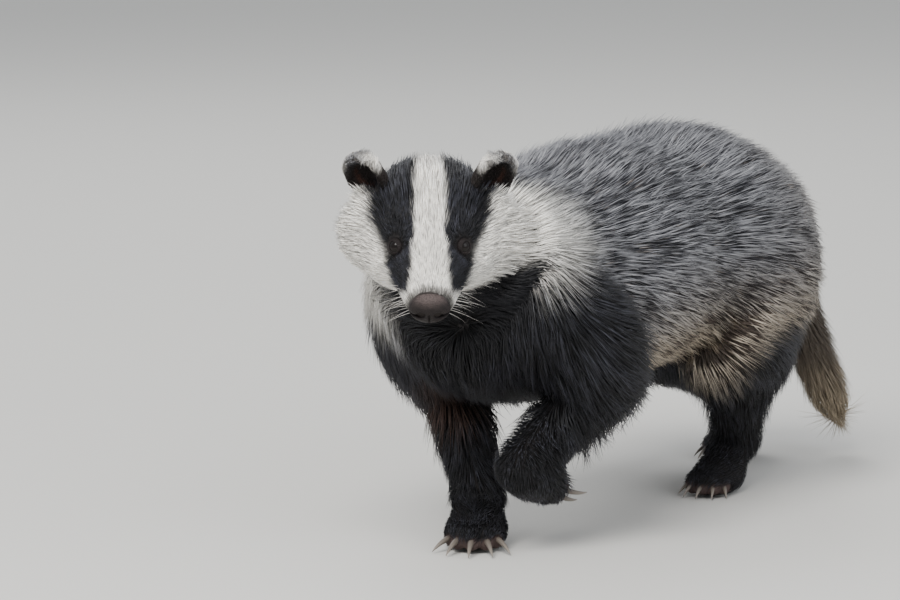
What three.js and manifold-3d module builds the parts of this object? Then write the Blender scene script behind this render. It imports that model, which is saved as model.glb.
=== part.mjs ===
// A European badger, life size, caught in mid stride: right front and both hind feet on the floor,
// left front foot lifted, head turned to its left. Millimetres, +Z up, the animal faces -Y.
// Flesh is a soft union of oval masses. Each part is cast from that union and cut from its neighbours.
import * as THREE from "three";
import { mergeVertices } from "three/addons/utils/BufferGeometryUtils.js";
import Module from "manifold-3d";

const wasm = await Module();
wasm.setup();

const radians = THREE.MathUtils.degToRad;
const lerp = THREE.MathUtils.lerp;
const smoothstep = THREE.MathUtils.smoothstep;
const at = (x, y, z) => new THREE.Vector3(x, y, z);
const UP = at(0, 0, 1);

// Driving dimensions
const GAP = 0.3; // clear space between touching parts
const HEAD_YAW = radians(33.5); // head turned to the animal's left
const HEAD_PITCH = radians(34); // nose below the level of the poll
const NOSE_TIP = at(49, -295, 201);
const EYE_RADIUS = 6;
const EYE_PLACE = [-52, 24, 19]; // forward of the nose tip, to the left, up
const LID = { thickness: 1.8, opening: [5.6, 9, 3.6], out: [4, 7, 3], lean: radians(20) };
const EAR = { place: [-108, 47, 38], half: [17, 21, 10], wall: 3.4, turn: radians(28), lean: radians(16) };
const NOSE_PAD = { place: [-7.5, 0, -1], half: [8.5, 15.5, 12.5], back: -13 };
const NOSTRIL = { place: [0, 6.2, -4], half: [5, 3.2, 2.2], turn: radians(35) };
const CLAW_FRONT = { length: 21, radius: 3.5 };
const CLAW_HIND = { length: 12, radius: 2.8 };
const CORE_SHARE = 0.45; // the core under the locks, as a share of the coat's depth
const LOCK = {
  sink: 5, // root below the top of the core
  thickness: 2.6,
  widths: [0.7, 1, 0.8, 0], // share of the lock's width at root, two stations and tip
  depths: [1, 1, 0.7, 0], // share of its thickness
  rise: [0.4, 0.8, 1], // from the core to the tips of the coat
};
const FRONT_PAW = { from: 19, thick: 6.6, fans: [-38, -20, -1, 18, 37], lengths: [9, 14, 16, 13, 7] };
const HIND_PAW = { from: 18, thick: 6, fans: [-34, -17, 0, 17, 33], lengths: [8, 13, 14, 12, 7] };
const PAW_SKIN = 2; // fur over the palm
const TOE_SKIN = 1; // fur over the toes
const ORIGIN_SHIFT = at(0, -27, 0); // sets the origin under the middle of the bounding box

// Head coordinates: forward from the nose tip, to the animal's left, and up from the nose line
const headForward = at(
  Math.sin(HEAD_YAW) * Math.cos(HEAD_PITCH),
  -Math.cos(HEAD_YAW) * Math.cos(HEAD_PITCH),
  -Math.sin(HEAD_PITCH),
);
const headLeft = at(Math.cos(HEAD_YAW), Math.sin(HEAD_YAW), 0);
const headUp = new THREE.Vector3().crossVectors(headLeft, headForward).negate();
const head = (forward, left, up) =>
  NOSE_TIP.clone()
    .addScaledVector(headForward, forward)
    .addScaledVector(headLeft, left)
    .addScaledVector(headUp, up);
const toHead = (p) => {
  const offset = p.clone().sub(NOSE_TIP);
  return [offset.dot(headForward), offset.dot(headLeft), offset.dot(headUp)];
};

const onSide = ([forward, left, up], side) => [forward, left * side, up];

// Joints of the trunk and limbs
const HIP_LEFT = at(50, 172, 186);
const HIP_RIGHT = at(-48, 184, 184);
const KNEE_LEFT = at(66, 116, 128);
const KNEE_RIGHT = at(-56, 176, 128);
const SHOULDER_LEFT = at(50, -156, 196);
const SHOULDER_RIGHT = at(-52, -150, 194);
const ELBOW_LEFT = at(76, -104, 128);
const ELBOW_RIGHT = at(-46, -122, 126);
const WRIST_LEFT = at(52, -170, 68);
const TAIL_ROOT = at(0, 246, 204);
const TAIL_BEND = at(14, 300, 140);
const TAIL_TIP = at(40, 332, 46);

// An oval mass between two points: half width and half depth at each end, and how softly it joins the rest
function mass(from, to, wide, deep, blend, up = UP) {
  const along = to.clone().sub(from);
  const length2 = Math.max(along.lengthSq(), 1e-6);
  const axis = along.clone().normalize();
  const side = new THREE.Vector3().crossVectors(axis, up).normalize();
  const over = new THREE.Vector3().crossVectors(side, axis);
  return { from, along, length2, axis, side, over, wide, deep, blend };
}

function distanceTo(m, p) {
  const offset = p.clone().sub(m.from);
  const t = THREE.MathUtils.clamp(offset.dot(m.along) / m.length2, 0, 1);
  offset.addScaledVector(m.along, -t);
  const w = lerp(m.wide[0], m.wide[1], t);
  const d = lerp(m.deep[0], m.deep[1], t);
  const r = (w + d) / 2;
  const parts = [offset.dot(m.side), offset.dot(m.over), offset.dot(m.axis)];
  const near = Math.hypot(parts[0] / w, parts[1] / d, parts[2] / r);
  const slope = Math.hypot(parts[0] / (w * w), parts[1] / (d * d), parts[2] / (r * r));
  return slope < 1e-6 ? -Math.min(w, d) : (near * (near - 1)) / slope;
}

// The soft union of masses, as a signed distance
const fieldOf = (masses) => (p) =>
  masses.reduce((sum, m) => {
    const d = distanceTo(m, p);
    if (sum === null) return d;
    const h = Math.max(m.blend - Math.abs(sum - d), 0) / m.blend;
    return Math.min(sum, d) - (h * h * m.blend) / 4;
  }, null);

function normalAt(field, p) {
  const e = 0.6;
  const slope = (x, y, z) => field(p.clone().add(at(x, y, z))) - field(p.clone().sub(at(x, y, z)));
  return at(slope(e, 0, 0), slope(0, e, 0), slope(0, 0, e)).normalize();
}

// The masses of the head, skin deep
const headMasses = [
  mass(head(-13, 0, -1), head(-50, 0, 2), [14, 23], [12, 19], 10, headUp),
  mass(head(-50, 0, 2), head(-76, 0, 5), [24, 35], [21, 30], 14, headUp),
  mass(head(-76, 0, 6), head(-100, 0, 5), [36, 43], [31, 38], 18, headUp),
  ...[1, -1].flatMap((side) => [
    mass(head(-18, 8 * side, -5), head(-36, 12 * side, -7), [9, 10], [8.5, 10], 6, headUp),
    mass(head(-72, 25 * side, -8), head(-100, 37 * side, -8), [19, 24], [20, 25], 18, headUp),
    mass(head(-60, 15 * side, 17), head(-76, 18 * side, 21), [9, 10], [8, 9], 12, headUp),
  ]),
];
const headField = fieldOf(headMasses);
const jawField = fieldOf([
  mass(head(-21, 0, -12), head(-58, 0, -19), [8, 17], [6, 9], 8, headUp),
  mass(head(-58, 0, -19), head(-80, 0, -22), [17, 22], [9, 12], 8, headUp),
]);

// The depth of the coat on the head grows from the lips to the cheeks
function headCoat(p) {
  const [forward, left, up] = toHead(p);
  const back = smoothstep(-forward, 20, 110);
  const cheek = smoothstep(Math.abs(left), 20, 48) * smoothstep(20 - up, 0, 30);
  return 1.2 + back * (6 + 9 * cheek);
}

// The masses of the neck, trunk, shoulders and haunches, skin deep
const bodyMasses = [
  mass(head(-100, 0, -16), at(0, -140, 202), [36, 60], [32, 64], 30),
  mass(at(0, -140, 200), at(0, 10, 200), [62, 80], [64, 72], 30),
  mass(at(0, 0, 200), at(0, 140, 202), [80, 84], [72, 72], 30),
  mass(at(0, 130, 202), at(0, 206, 198), [82, 64], [72, 56], 30),
  mass(at(0, -170, 172), at(0, -100, 146), [34, 42], [32, 34], 28),
  mass(SHOULDER_LEFT, at(72, -116, 156), [34, 30], [36, 30], 24),
  mass(SHOULDER_RIGHT, at(-58, -130, 152), [34, 30], [36, 30], 24),
  mass(HIP_LEFT, KNEE_LEFT, [42, 32], [50, 34], 26),
  mass(HIP_RIGHT, KNEE_RIGHT, [42, 32], [50, 34], 26),
];
const bodyField = fieldOf(bodyMasses);

const bodyCoat = (p) => {
  const rear = smoothstep(p.y, -230, 60);
  const under = smoothstep(190 - p.z, 0, 90);
  return lerp(16, 24, rear) - 7 * under;
};

// Solids
function solidOf(geometry) {
  const bare = new THREE.BufferGeometry()
    .setAttribute("position", geometry.getAttribute("position"))
    .setIndex(geometry.index);
  const merged = mergeVertices(bare, 1e-3);
  const index = merged.index.array;
  const kept = [];
  for (let i = 0; i < index.length; i += 3) {
    const [a, b, c] = index.slice(i, i + 3);
    if (a !== b && b !== c && c !== a) kept.push(a, b, c);
  }
  return new wasm.Manifold(
    new wasm.Mesh({
      numProp: 3,
      vertProperties: merged.attributes.position.array,
      triVerts: new Uint32Array(kept),
    }),
  );
}

// A boolean can leave scraps and sealed hollows: a part keeps only its largest closed surface.
// Merging close corners can pinch off another, so this is repeated until one is left.
function largest(solid) {
  let pieces = solid.decompose();
  let best = solid;
  for (let round = 0; round < 6; round++) {
    best = pieces.reduce((kept, piece) => (piece.volume() > kept.volume() ? piece : kept));
    pieces = solidOf(geometryOf(best)).decompose();
    if (pieces.length === 1) break;
  }
  return best;
}

function geometryOf(solid) {
  const mesh = solid.getMesh();
  const geometry = new THREE.BufferGeometry();
  geometry.setAttribute("position", new THREE.BufferAttribute(mesh.vertProperties, 3));
  geometry.setIndex(new THREE.BufferAttribute(mesh.triVerts, 1));
  geometry.computeVertexNormals();
  return geometry;
}

// Casts a closed skin round an axis: a sphere whose poles are the axis' two ends, with each vertex moved
// out along its ray to the place where the field reaches the wanted height
function castSkin(axisPoints, field, height, { sides, rings, capShare = 0.2, reach = 190 }) {
  const axis = new THREE.CatmullRomCurve3(axisPoints, false, "centripetal");
  const sphere = new THREE.SphereGeometry(1, sides, rings);
  const place = sphere.getAttribute("position");
  const vertex = new THREE.Vector3();
  for (let i = 0; i < place.count; i++) {
    vertex.fromBufferAttribute(place, i);
    const ring = Math.floor(i / (sides + 1)) / rings;
    const turn = ((i % (sides + 1)) % sides) * ((2 * Math.PI) / sides);
    const t = THREE.MathUtils.clamp((ring - capShare) / (1 - 2 * capShare), 0, 1);
    const lean =
      ring < capShare
        ? -(1 - ring / capShare)
        : ring > 1 - capShare
          ? (ring - 1 + capShare) / capShare
          : 0;
    const centre = axis.getPoint(t);
    const forward = axis.getTangent(t);
    const side = new THREE.Vector3().crossVectors(forward, UP).normalize();
    const over = new THREE.Vector3().crossVectors(side, forward);
    const tilt = (lean * Math.PI) / 2;
    const ray = side
      .multiplyScalar(Math.cos(turn))
      .addScaledVector(over, Math.sin(turn))
      .multiplyScalar(Math.cos(tilt))
      .addScaledVector(forward, Math.sin(tilt));
    vertex.copy(castRay(centre, ray, field, height, reach));
    place.setXYZ(i, vertex.x, vertex.y, vertex.z);
  }
  const solid = solidOf(sphere);
  return solid.volume() > 0 ? solid : solidOf(turnedOut(sphere));
}

// The outermost point on a ray where the field is at the wanted height above the skin
function castRay(centre, ray, field, height, reach) {
  let distance = reach;
  for (let step = 0; step < 60; step++) {
    const p = centre.clone().addScaledVector(ray, distance);
    const over = field(p) - height(p);
    if (over < 0.05) break;
    distance = Math.max(distance - 0.7 * over, 0.5);
  }
  return centre.clone().addScaledVector(ray, distance);
}

function turnedOut(geometry) {
  const index = geometry.index;
  for (let i = 0; i < index.count; i += 3) {
    const second = index.getX(i + 1);
    index.setX(i + 1, index.getX(i + 2));
    index.setX(i + 2, second);
  }
  return geometry;
}

const ball = (centre, radius, sides = 12, rings = 8) =>
  solidOf(new THREE.SphereGeometry(radius, sides, rings).translate(centre.x, centre.y, centre.z));

// A large block used as a knife: it takes all that lies on the normal's side of a point
function halfSpace(point, normal, size = 900) {
  const block = new THREE.BoxGeometry(size, size, size).translate(0, 0, size / 2);
  block.applyQuaternion(new THREE.Quaternion().setFromUnitVectors(UP, normal.clone().normalize()));
  return solidOf(block.translate(point.x, point.y, point.z));
}

const colours = {
  grizzled: new THREE.MeshStandardMaterial({ color: 0x77757a, roughness: 0.85 }),
  white: new THREE.MeshStandardMaterial({ color: 0xe9e2d6, roughness: 0.85 }),
  black: new THREE.MeshStandardMaterial({ color: 0x1b1a1d, roughness: 0.8 }),
  tail: new THREE.MeshStandardMaterial({ color: 0x8d7c66, roughness: 0.85 }),
  nose: new THREE.MeshStandardMaterial({ color: 0x2b2527, roughness: 0.45 }),
  eye: new THREE.MeshStandardMaterial({ color: 0x080607, roughness: 0.08 }),
  claw: new THREE.MeshStandardMaterial({ color: 0x6b6258, roughness: 0.5 }),
};

const badger = new THREE.Group();
badger.position.copy(ORIGIN_SHIFT);

function addNode(name, solid, material) {
  const mesh = new THREE.Mesh(geometryOf(largest(solid)), material);
  mesh.name = name;
  badger.add(mesh);
}

// Paws: toes point along local +Y, the sole lies at local z = 0
function pawParts({ place, toeWay, dorsal, palm, toes, claw }) {
  const left = new THREE.Vector3().crossVectors(dorsal, toeWay).normalize();
  const frame = new THREE.Matrix4().makeBasis(left.clone().negate(), toeWay, dorsal).setPosition(place);
  const local = (x, y, z) => at(x, y, z).applyMatrix4(frame);
  const masses = [
    mass(local(0, -palm.heel, palm.wrist), local(0, -4, 14), [15, palm.wide], [15, 13], 10, dorsal),
    mass(local(0, -palm.back, 12), local(0, 8, 11), [palm.wide * 0.8, palm.wide], [12, 12], 10, dorsal),
  ];
  const claws = [];
  const toeSolids = (grow) =>
    toes.map(({ fan, from, length, thick }) => {
      const way = radians(fan);
      const root = local(from * Math.sin(way) * 1.25, from * Math.cos(way) - 6, 10.5);
      const bent = from + length * 0.55;
      const knuckle = local(bent * Math.sin(way), bent * Math.cos(way), 11);
      const tip = local((from + length) * Math.sin(way), (from + length) * Math.cos(way), 7.5);
      const toe = [
        mass(root, knuckle, [thick, thick], [thick, thick], 4, dorsal),
        mass(knuckle, tip, [thick, thick * 0.86], [thick, thick * 0.8], 4, dorsal),
      ];
      return castSkin([root, knuckle, tip], fieldOf(toe), () => TOE_SKIN + grow, {
        sides: 6,
        rings: 6,
        capShare: 0.34,
        reach: 26,
      });
    });
  for (const { fan, from, length, thick } of toes) {
    const way = radians(fan);
    const reach = from + length + thick * 0.35;
    const root = local(reach * Math.sin(way), reach * Math.cos(way), 9.5);
    const middle = reach + claw.length * 0.55;
    const end = reach + claw.length;
    const bend = local(middle * Math.sin(way), middle * Math.cos(way), 8.6);
    const point = local(end * Math.sin(way), end * Math.cos(way), 1.2);
    claws.push({ root, bend, point, radius: claw.radius });
  }
  const palmField = fieldOf(masses);
  const build = (grow) =>
    toeSolids(grow).reduce(
      (sum, toe) => sum.add(toe),
      castSkin(
        [local(0, -palm.heel + 2, palm.wrist - 4), local(0, -palm.heel / 2, 16), local(0, 4, 11.5)],
        palmField,
        () => PAW_SKIN + grow,
        { sides: 10, rings: 7, capShare: 0.29, reach: 60 },
      ),
    );
  return { build, claws };
}

// A claw: a cone swept down a bent line
function clawSolid({ root, bend, point, radius }) {
  const line = new THREE.QuadraticBezierCurve3(root, bend, point);
  const cone = new THREE.ConeGeometry(radius, 1, 5, 3);
  const place = cone.getAttribute("position");
  for (let i = 0; i < place.count; i++) {
    const t = place.getY(i) + 0.5;
    const centre = line.getPoint(t);
    const forward = line.getTangent(t);
    const side = new THREE.Vector3().crossVectors(forward, UP).normalize();
    const over = new THREE.Vector3().crossVectors(side, forward);
    const swell = Math.max(1 - t, 0.04) ** -0.35;
    centre
      .addScaledVector(side, place.getX(i) * 0.8 * swell)
      .addScaledVector(over, place.getZ(i) * swell);
    place.setXYZ(i, centre.x, centre.y, centre.z);
  }
  const solid = solidOf(cone);
  return solid.volume() > 0 ? solid : solidOf(turnedOut(cone));
}

const toesOf = ({ from, thick, fans, lengths }) =>
  fans.map((fan, i) => ({ fan, from, length: lengths[i], thick }));
const FRONT_TOES = toesOf(FRONT_PAW);
const HIND_TOES = toesOf(HIND_PAW);
const level = (turn) => at(Math.sin(radians(turn)), -Math.cos(radians(turn)), 0);
const tipped = (turn, fall) =>
  level(turn)
    .multiplyScalar(Math.cos(radians(fall)))
    .addScaledVector(UP, -Math.sin(radians(fall)));
const topOf = (turn, fall) =>
  level(turn)
    .multiplyScalar(Math.sin(radians(fall)))
    .addScaledVector(UP, Math.cos(radians(fall)));

// Each leg: how its paw stands, then its line of joints down to the wrist or heel
const limbs = {
  front_right: {
    place: at(2, -160, 0),
    turn: 26,
    fall: 0,
    palm: { heel: 14, back: 8, wide: 22, wrist: 36 },
    toes: FRONT_TOES,
    claw: CLAW_FRONT,
    joints: [at(-58, -134, 160), ELBOW_RIGHT],
    wide: [30, 25, 16],
    coat: [12, 4],
  },
  front_left: {
    wrist: WRIST_LEFT,
    turn: 10,
    fall: 138,
    palm: { heel: 16, back: 8, wide: 21, wrist: 16 },
    toes: FRONT_TOES,
    claw: CLAW_FRONT,
    joints: [at(72, -118, 156), ELBOW_LEFT],
    wide: [30, 26, 17],
    coat: [12, 5],
  },
  hind_left: {
    place: at(46, 130, 0),
    turn: 8,
    fall: 0,
    palm: { heel: 40, back: 14, wide: 19, wrist: 38 },
    toes: HIND_TOES,
    claw: CLAW_HIND,
    joints: [at(60, 156, 168), at(60, 140, 112)],
    wide: [40, 33, 16],
    coat: [14, 4],
  },
  hind_right: {
    place: at(-28, 284, 0),
    turn: 4,
    fall: 0,
    palm: { heel: 18, back: 6, wide: 18, wrist: 52 },
    toes: HIND_TOES,
    claw: CLAW_HIND,
    joints: [at(-54, 196, 165), at(-54, 212, 108)],
    wide: [40, 32, 15],
    coat: [14, 4],
  },
};
for (const limb of Object.values(limbs)) {
  limb.toeWay = tipped(limb.turn, limb.fall);
  limb.dorsal = topOf(limb.turn, limb.fall);
  limb.place ??= limb.wrist
    .clone()
    .addScaledVector(limb.toeWay, limb.palm.heel)
    .addScaledVector(limb.dorsal, -limb.palm.wrist);
  limb.wrist ??= limb.place
    .clone()
    .addScaledVector(limb.toeWay, -limb.palm.heel)
    .addScaledVector(limb.dorsal, limb.palm.wrist);
  limb.line = [...limb.joints, limb.wrist];
  limb.paw = pawParts(limb);
}

function legSolid({ line, wide, coat }, grow) {
  const field = fieldOf([
    mass(line[0], line[1], [wide[0], wide[1]], [wide[0], wide[1]], 14),
    mass(line[1], line[2], [wide[1], wide[2]], [wide[1], wide[2]], 14),
  ]);
  const depth = (p) => lerp(coat[1], coat[0], smoothstep(p.z, 40, 130)) + grow;
  const upper = castSkin(line.slice(0, 2), field, depth, { sides: 10, rings: 6, capShare: 0.34, reach: 90 });
  return upper.add(castSkin(line.slice(1), field, depth, { sides: 10, rings: 6, capShare: 0.34, reach: 90 }));
}

// The tail: hair lies down it and fans out to the tip
const tailField = fieldOf([
  mass(TAIL_ROOT, TAIL_BEND, [20, 15], [20, 15], 12),
  mass(TAIL_BEND, TAIL_TIP, [15, 8], [15, 8], 12),
]);
const tailCoat = (p) => 3 + 13 * smoothstep(TAIL_ROOT.z - p.z, -20, 60);
const tailHair = {
  field: tailField,
  core: (p) => CORE_SHARE * tailCoat(p),
  full: tailCoat,
  lie: () => TAIL_TIP.clone().sub(TAIL_BEND),
};
const tailCore = (grow) =>
  castSkin([TAIL_ROOT, TAIL_BEND, TAIL_TIP], tailField, (p) => tailHair.core(p) + grow, {
    sides: 10,
    rings: 9,
    capShare: 0.2,
    reach: 80,
  });
const tailLocks = (grow) => [
  ...lockRows(tailHair, TAIL_ROOT, TAIL_BEND, { rows: 2, around: 5, length: 62, width: 27, seed: 5 }, grow),
  ...lockRows(tailHair, TAIL_BEND, TAIL_TIP, { rows: 2, around: 5, length: 58, width: 23, seed: 6 }, grow),
];

// A lock of the coat: a flat, tapered blade rooted in the core. It runs along the lie, bends with the
// form under it and rises to the tips of the coat.
function lockSolid({ field, core, full, lie }, root, length, width, grow = 0) {
  const stations = [];
  const place = root.clone();
  const step = length / 3;
  for (let i = 0; i <= 3; i++) {
    const normal = normalAt(field, place);
    const way = lie(place, normal).projectOnPlane(normal).normalize();
    const share = i === 0 ? 0 : LOCK.rise[i - 1];
    const height = i === 0 ? core(place) - LOCK.sink : lerp(core(place), full(place), share) + grow;
    place.addScaledVector(normal, height - field(place));
    const side = new THREE.Vector3().crossVectors(way, normal).normalize();
    stations.push({ centre: place.clone(), normal, side });
    place.addScaledVector(way, step);
  }
  const cone = new THREE.ConeGeometry(1, 1, 3, 3);
  const vertices = cone.getAttribute("position");
  for (let i = 0; i < vertices.count; i++) {
    const ring = Math.round((vertices.getY(i) + 0.5) * 3);
    const { centre, normal, side } = stations[ring];
    const reach = Math.hypot(vertices.getX(i), vertices.getZ(i));
    const across = reach > 1e-4 ? vertices.getX(i) / reach : 0;
    const over = reach > 1e-4 ? vertices.getZ(i) / reach : 0;
    const vertex = centre
      .clone()
      .addScaledVector(side, across * (LOCK.widths[ring] * width * 0.5 + grow))
      .addScaledVector(normal, over * (LOCK.depths[ring] * LOCK.thickness + grow));
    vertices.setXYZ(i, vertex.x, vertex.y, vertex.z);
  }
  const solid = solidOf(cone);
  return solid.volume() > 0 ? solid : solidOf(turnedOut(cone));
}

// Rows of locks round an axis, staggered row by row and varied by a seeded draw
function lockRows(coat, axisFrom, axisTo, { rows, around, arc = [0, 360], length, width, seed, keep }, grow) {
  THREE.MathUtils.seededRandom(seed);
  const random = (spread) => (THREE.MathUtils.seededRandom() - 0.5) * 2 * spread;
  const forward = axisTo.clone().sub(axisFrom).normalize();
  const side = new THREE.Vector3().crossVectors(forward, UP).normalize();
  const over = new THREE.Vector3().crossVectors(side, forward);
  const locks = [];
  for (let row = 0; row < rows; row++) {
    for (let column = 0; column < around; column++) {
      const t = (row + 0.5 + random(0.18)) / rows;
      const share = (column + 0.5 * (row % 2) + 0.25 + random(0.15)) / around;
      const turn = radians(lerp(arc[0], arc[1], share));
      const ray = side.clone().multiplyScalar(Math.cos(turn)).addScaledVector(over, Math.sin(turn));
      const centre = axisFrom.clone().lerp(axisTo, t);
      const root = castRay(centre, ray, coat.field, coat.core, 190);
      const drawn = [length * (1 + random(0.14)), width * (1 + random(0.12))];
      if (!keep || keep(root)) locks.push(lockSolid(coat, root, ...drawn, grow));
    }
  }
  return locks;
}

const joined = (first, others) => others.reduce((sum, solid) => sum.add(solid), first);

// An oval ball in head coordinates, turned to face outwards and leaning out
function headBall(place, half, grow = 0, turn = 0, lean = 0, sides = 12, rings = 8) {
  const [forward, left, up] = half.map((r) => r + grow);
  const geometry = new THREE.SphereGeometry(1, sides, rings).scale(left, up, forward);
  geometry.applyMatrix4(new THREE.Matrix4().makeRotationY(turn));
  geometry.applyMatrix4(new THREE.Matrix4().makeRotationZ(-lean));
  const centre = head(...place);
  geometry.applyMatrix4(new THREE.Matrix4().makeBasis(headLeft, headUp, headForward).setPosition(centre));
  return solidOf(geometry);
}

// An ear: an oval shell, cupped forwards and out
function earSolid(side, grow) {
  const [wide, high, deep] = EAR.half;
  const place = onSide(EAR.place, side);
  const turn = EAR.turn * side;
  const lean = EAR.lean * side;
  const shell = headBall(place, [deep, wide, high], grow, turn, lean);
  const cupPlace = [place[0] + deep * 0.75, place[1] + 3.5 * side, place[2] + 1];
  const cup = headBall(cupPlace, [deep, wide - EAR.wall, high - EAR.wall], -grow, turn, lean);
  return grow ? shell : shell.subtract(cup);
}

const TRUNK_AXIS = [at(0, -150, 200), at(0, 204, 198)];
const NECK_AXIS = [head(-100, 0, -14), at(0, -130, 200)];
const NECK_CUT = { place: at(0, -168, 210), facing: at(-0.3, 1, -0.45).normalize() };
const bodyCore = (p) => CORE_SHARE * bodyCoat(p);
const trunk = (height, grow) =>
  castSkin(TRUNK_AXIS, bodyField, (p) => height(p) + grow, { sides: 22, rings: 20, capShare: 0.25 });
const nape = (grow) =>
  castSkin(NECK_AXIS, bodyField, (p) => bodyCore(p) + grow, { sides: 22, rings: 14, capShare: 0.3 });
const skull = (grow) =>
  castSkin([head(-20, 0, -1), head(-100, 0, 2)], headField, (p) => headCoat(p) + grow, {
    sides: 20,
    rings: 16,
    capShare: 0.25,
    reach: 110,
  });
const jaw = (grow) =>
  castSkin([head(-21, 0, -12), head(-70, 0, -20)], jawField, (p) => 0.4 * headCoat(p) + grow, {
    sides: 10,
    rings: 8,
    capShare: 0.25,
    reach: 60,
  });

const behindCut = (gap) =>
  halfSpace(NECK_CUT.place.clone().addScaledVector(NECK_CUT.facing, gap), NECK_CUT.facing);
const floor = halfSpace(at(0, 0, 0), UP.clone().negate());
const both = (make) => make(1).add(make(-1));
const inFrontOf = (forward) => halfSpace(head(forward, 0, 0), headForward);
const nosePad = (grow) =>
  headBall(NOSE_PAD.place, NOSE_PAD.half, grow).intersect(inFrontOf(NOSE_PAD.back - grow));
const nostril = (side) =>
  headBall(onSide(NOSTRIL.place, side), NOSTRIL.half, 0, NOSTRIL.turn * side, 0, 8, 6);
const eyeBall = (side, grow) => ball(head(...onSide(EYE_PLACE, side)), EYE_RADIUS + grow);
const lidBall = (side) => eyeBall(side, LID.thickness);
const lidPlace = EYE_PLACE.map((along, i) => along + LID.out[i]);
const lidOpening = (side) =>
  headBall(onSide(lidPlace, side), LID.opening, 0, 0, LID.lean * side);

// Parts of the head, then the trunk, its locks and the cuts between neighbours
const headGrown = skull(GAP).add(jaw(GAP));
const headSolid = both(lidBall)
  .add(skull(0))
  .subtract(both(lidOpening))
  .subtract(both((side) => eyeBall(side, GAP)))
  .subtract(nosePad(GAP));
// The lie of the coat: back along the body, and down on the flanks, chest and haunches
const bodyLie = (p, normal) => {
  const flank = smoothstep(Math.abs(normal.x), 0.3, 0.95) * smoothstep(265 - p.z, 0, 120);
  const chest = smoothstep(-p.y, 120, 230) * smoothstep(0.2 - normal.y, 0, 0.8);
  return at(0, 1 - 0.8 * chest, -0.45 * flank - 0.9 * chest);
};
const bodyHair = { field: bodyField, core: bodyCore, full: bodyCoat, lie: bodyLie };
const behindSide = (p) => p.clone().sub(NECK_CUT.place).dot(NECK_CUT.facing);
const neckLocks = (grow) =>
  lockRows(
    bodyHair,
    ...NECK_AXIS,
    { rows: 3, around: 13, length: 60, width: 31, seed: 3, keep: (p) => behindSide(p) < -4 },
    grow,
  );
const torsoLocks = lockRows(bodyHair, at(0, -165, 200), at(0, 216, 198), {
  rows: 6,
  around: 14,
  length: 100,
  width: 44,
  seed: 11,
  keep: (p) => behindSide(p) > 8,
});

const neckCore = nape(0).subtract(behindCut(0));
const torsoCoreGrown = trunk(bodyCore, GAP).intersect(behindCut(0));
const earsGrown = both((side) => earSolid(side, GAP));
const legsGrown = Object.values(limbs).map((limb) => legSolid(limb, GAP));
const cutBy = (solid, cutters) => cutters.reduce((left, cutter) => left.subtract(cutter), solid);
const neck = cutBy(joined(neckCore, neckLocks(0)), [torsoCoreGrown, headGrown, earsGrown, ...legsGrown]);
const neckGrown = joined(nape(GAP).subtract(behindCut(GAP)), neckLocks(GAP));
const trunkGrown = trunk(bodyCore, GAP);
const tail = joined(tailCore(0), tailLocks(0)).subtract(trunkGrown);
const tailGrown = joined(tailCore(GAP), tailLocks(GAP));
const torsoParts = joined(trunk(bodyCore, 0).intersect(behindCut(GAP)), torsoLocks);
const torso = cutBy(torsoParts, [headGrown, neckGrown, tailGrown, ...legsGrown]);

addNode("head", headSolid, colours.white);
addNode("lower_jaw", jaw(0).subtract(skull(GAP)).subtract(nosePad(GAP)), colours.white);
addNode("nose", nosePad(0).subtract(both(nostril)), colours.nose);
for (const [name, side] of [["left", 1], ["right", -1]]) {
  addNode("ear_" + name, earSolid(side, 0).subtract(headGrown), colours.black);
  addNode("eye_" + name, eyeBall(side, 0), colours.eye);
}
addNode("neck", neck, colours.white);
addNode("torso", torso, colours.grizzled);
addNode("tail", tail, colours.tail);
for (const [name, limb] of Object.entries(limbs)) {
  const { paw } = limb;
  const pawGrown = paw.build(GAP);
  addNode("leg_" + name, legSolid(limb, 0).subtract(trunkGrown).subtract(pawGrown), colours.black);
  addNode("paw_" + name, paw.build(0).subtract(floor).subtract(trunkGrown), colours.black);
  paw.claws.forEach((claw, i) =>
    addNode("claw_" + name + "_" + (i + 1), clawSolid(claw).subtract(pawGrown).subtract(floor), colours.claw),
  );
}

export default badger;
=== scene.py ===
"""A European badger in mid stride: skin, coat, face, claws, floor, light and camera."""
import math

import bmesh
import bpy
import numpy as np
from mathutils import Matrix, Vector


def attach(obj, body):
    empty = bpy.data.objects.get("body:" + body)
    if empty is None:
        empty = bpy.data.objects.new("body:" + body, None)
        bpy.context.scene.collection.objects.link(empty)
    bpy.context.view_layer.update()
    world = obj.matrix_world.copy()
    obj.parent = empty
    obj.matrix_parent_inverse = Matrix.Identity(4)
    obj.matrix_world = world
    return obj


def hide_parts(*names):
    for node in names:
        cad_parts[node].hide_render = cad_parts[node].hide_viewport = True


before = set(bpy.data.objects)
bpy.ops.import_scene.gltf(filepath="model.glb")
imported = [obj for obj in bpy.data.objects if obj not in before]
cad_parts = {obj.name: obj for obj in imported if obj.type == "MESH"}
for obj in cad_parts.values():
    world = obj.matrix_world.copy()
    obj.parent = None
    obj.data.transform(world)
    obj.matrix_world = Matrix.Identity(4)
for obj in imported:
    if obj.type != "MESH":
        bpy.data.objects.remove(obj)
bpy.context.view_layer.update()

# The camera, in metres, where it sees the animal as the photograph does
CAMERA_TURN = math.radians(33.5)
CAMERA_RISE = math.radians(8.5)
CAMERA_DISTANCE = 3.6
CAMERA_AIM = Vector((-0.0219, -0.1877, 0.1884))
LENS_MM = 188.2
SENSOR_MM = 36.0

# Body sizes are millimetres in the animal's own frame, moved by this to the model's origin
ORIGIN_SHIFT = np.array((0.0, -27.0, 0.0))
UP = np.array((0.0, 0.0, 1.0))
SEED = 7

# Hair is planned to stay between these sides and under this height, in millimetres
COAT_SIDES = (-118.5, 120.5)
COAT_TOP = 317.0
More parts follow.
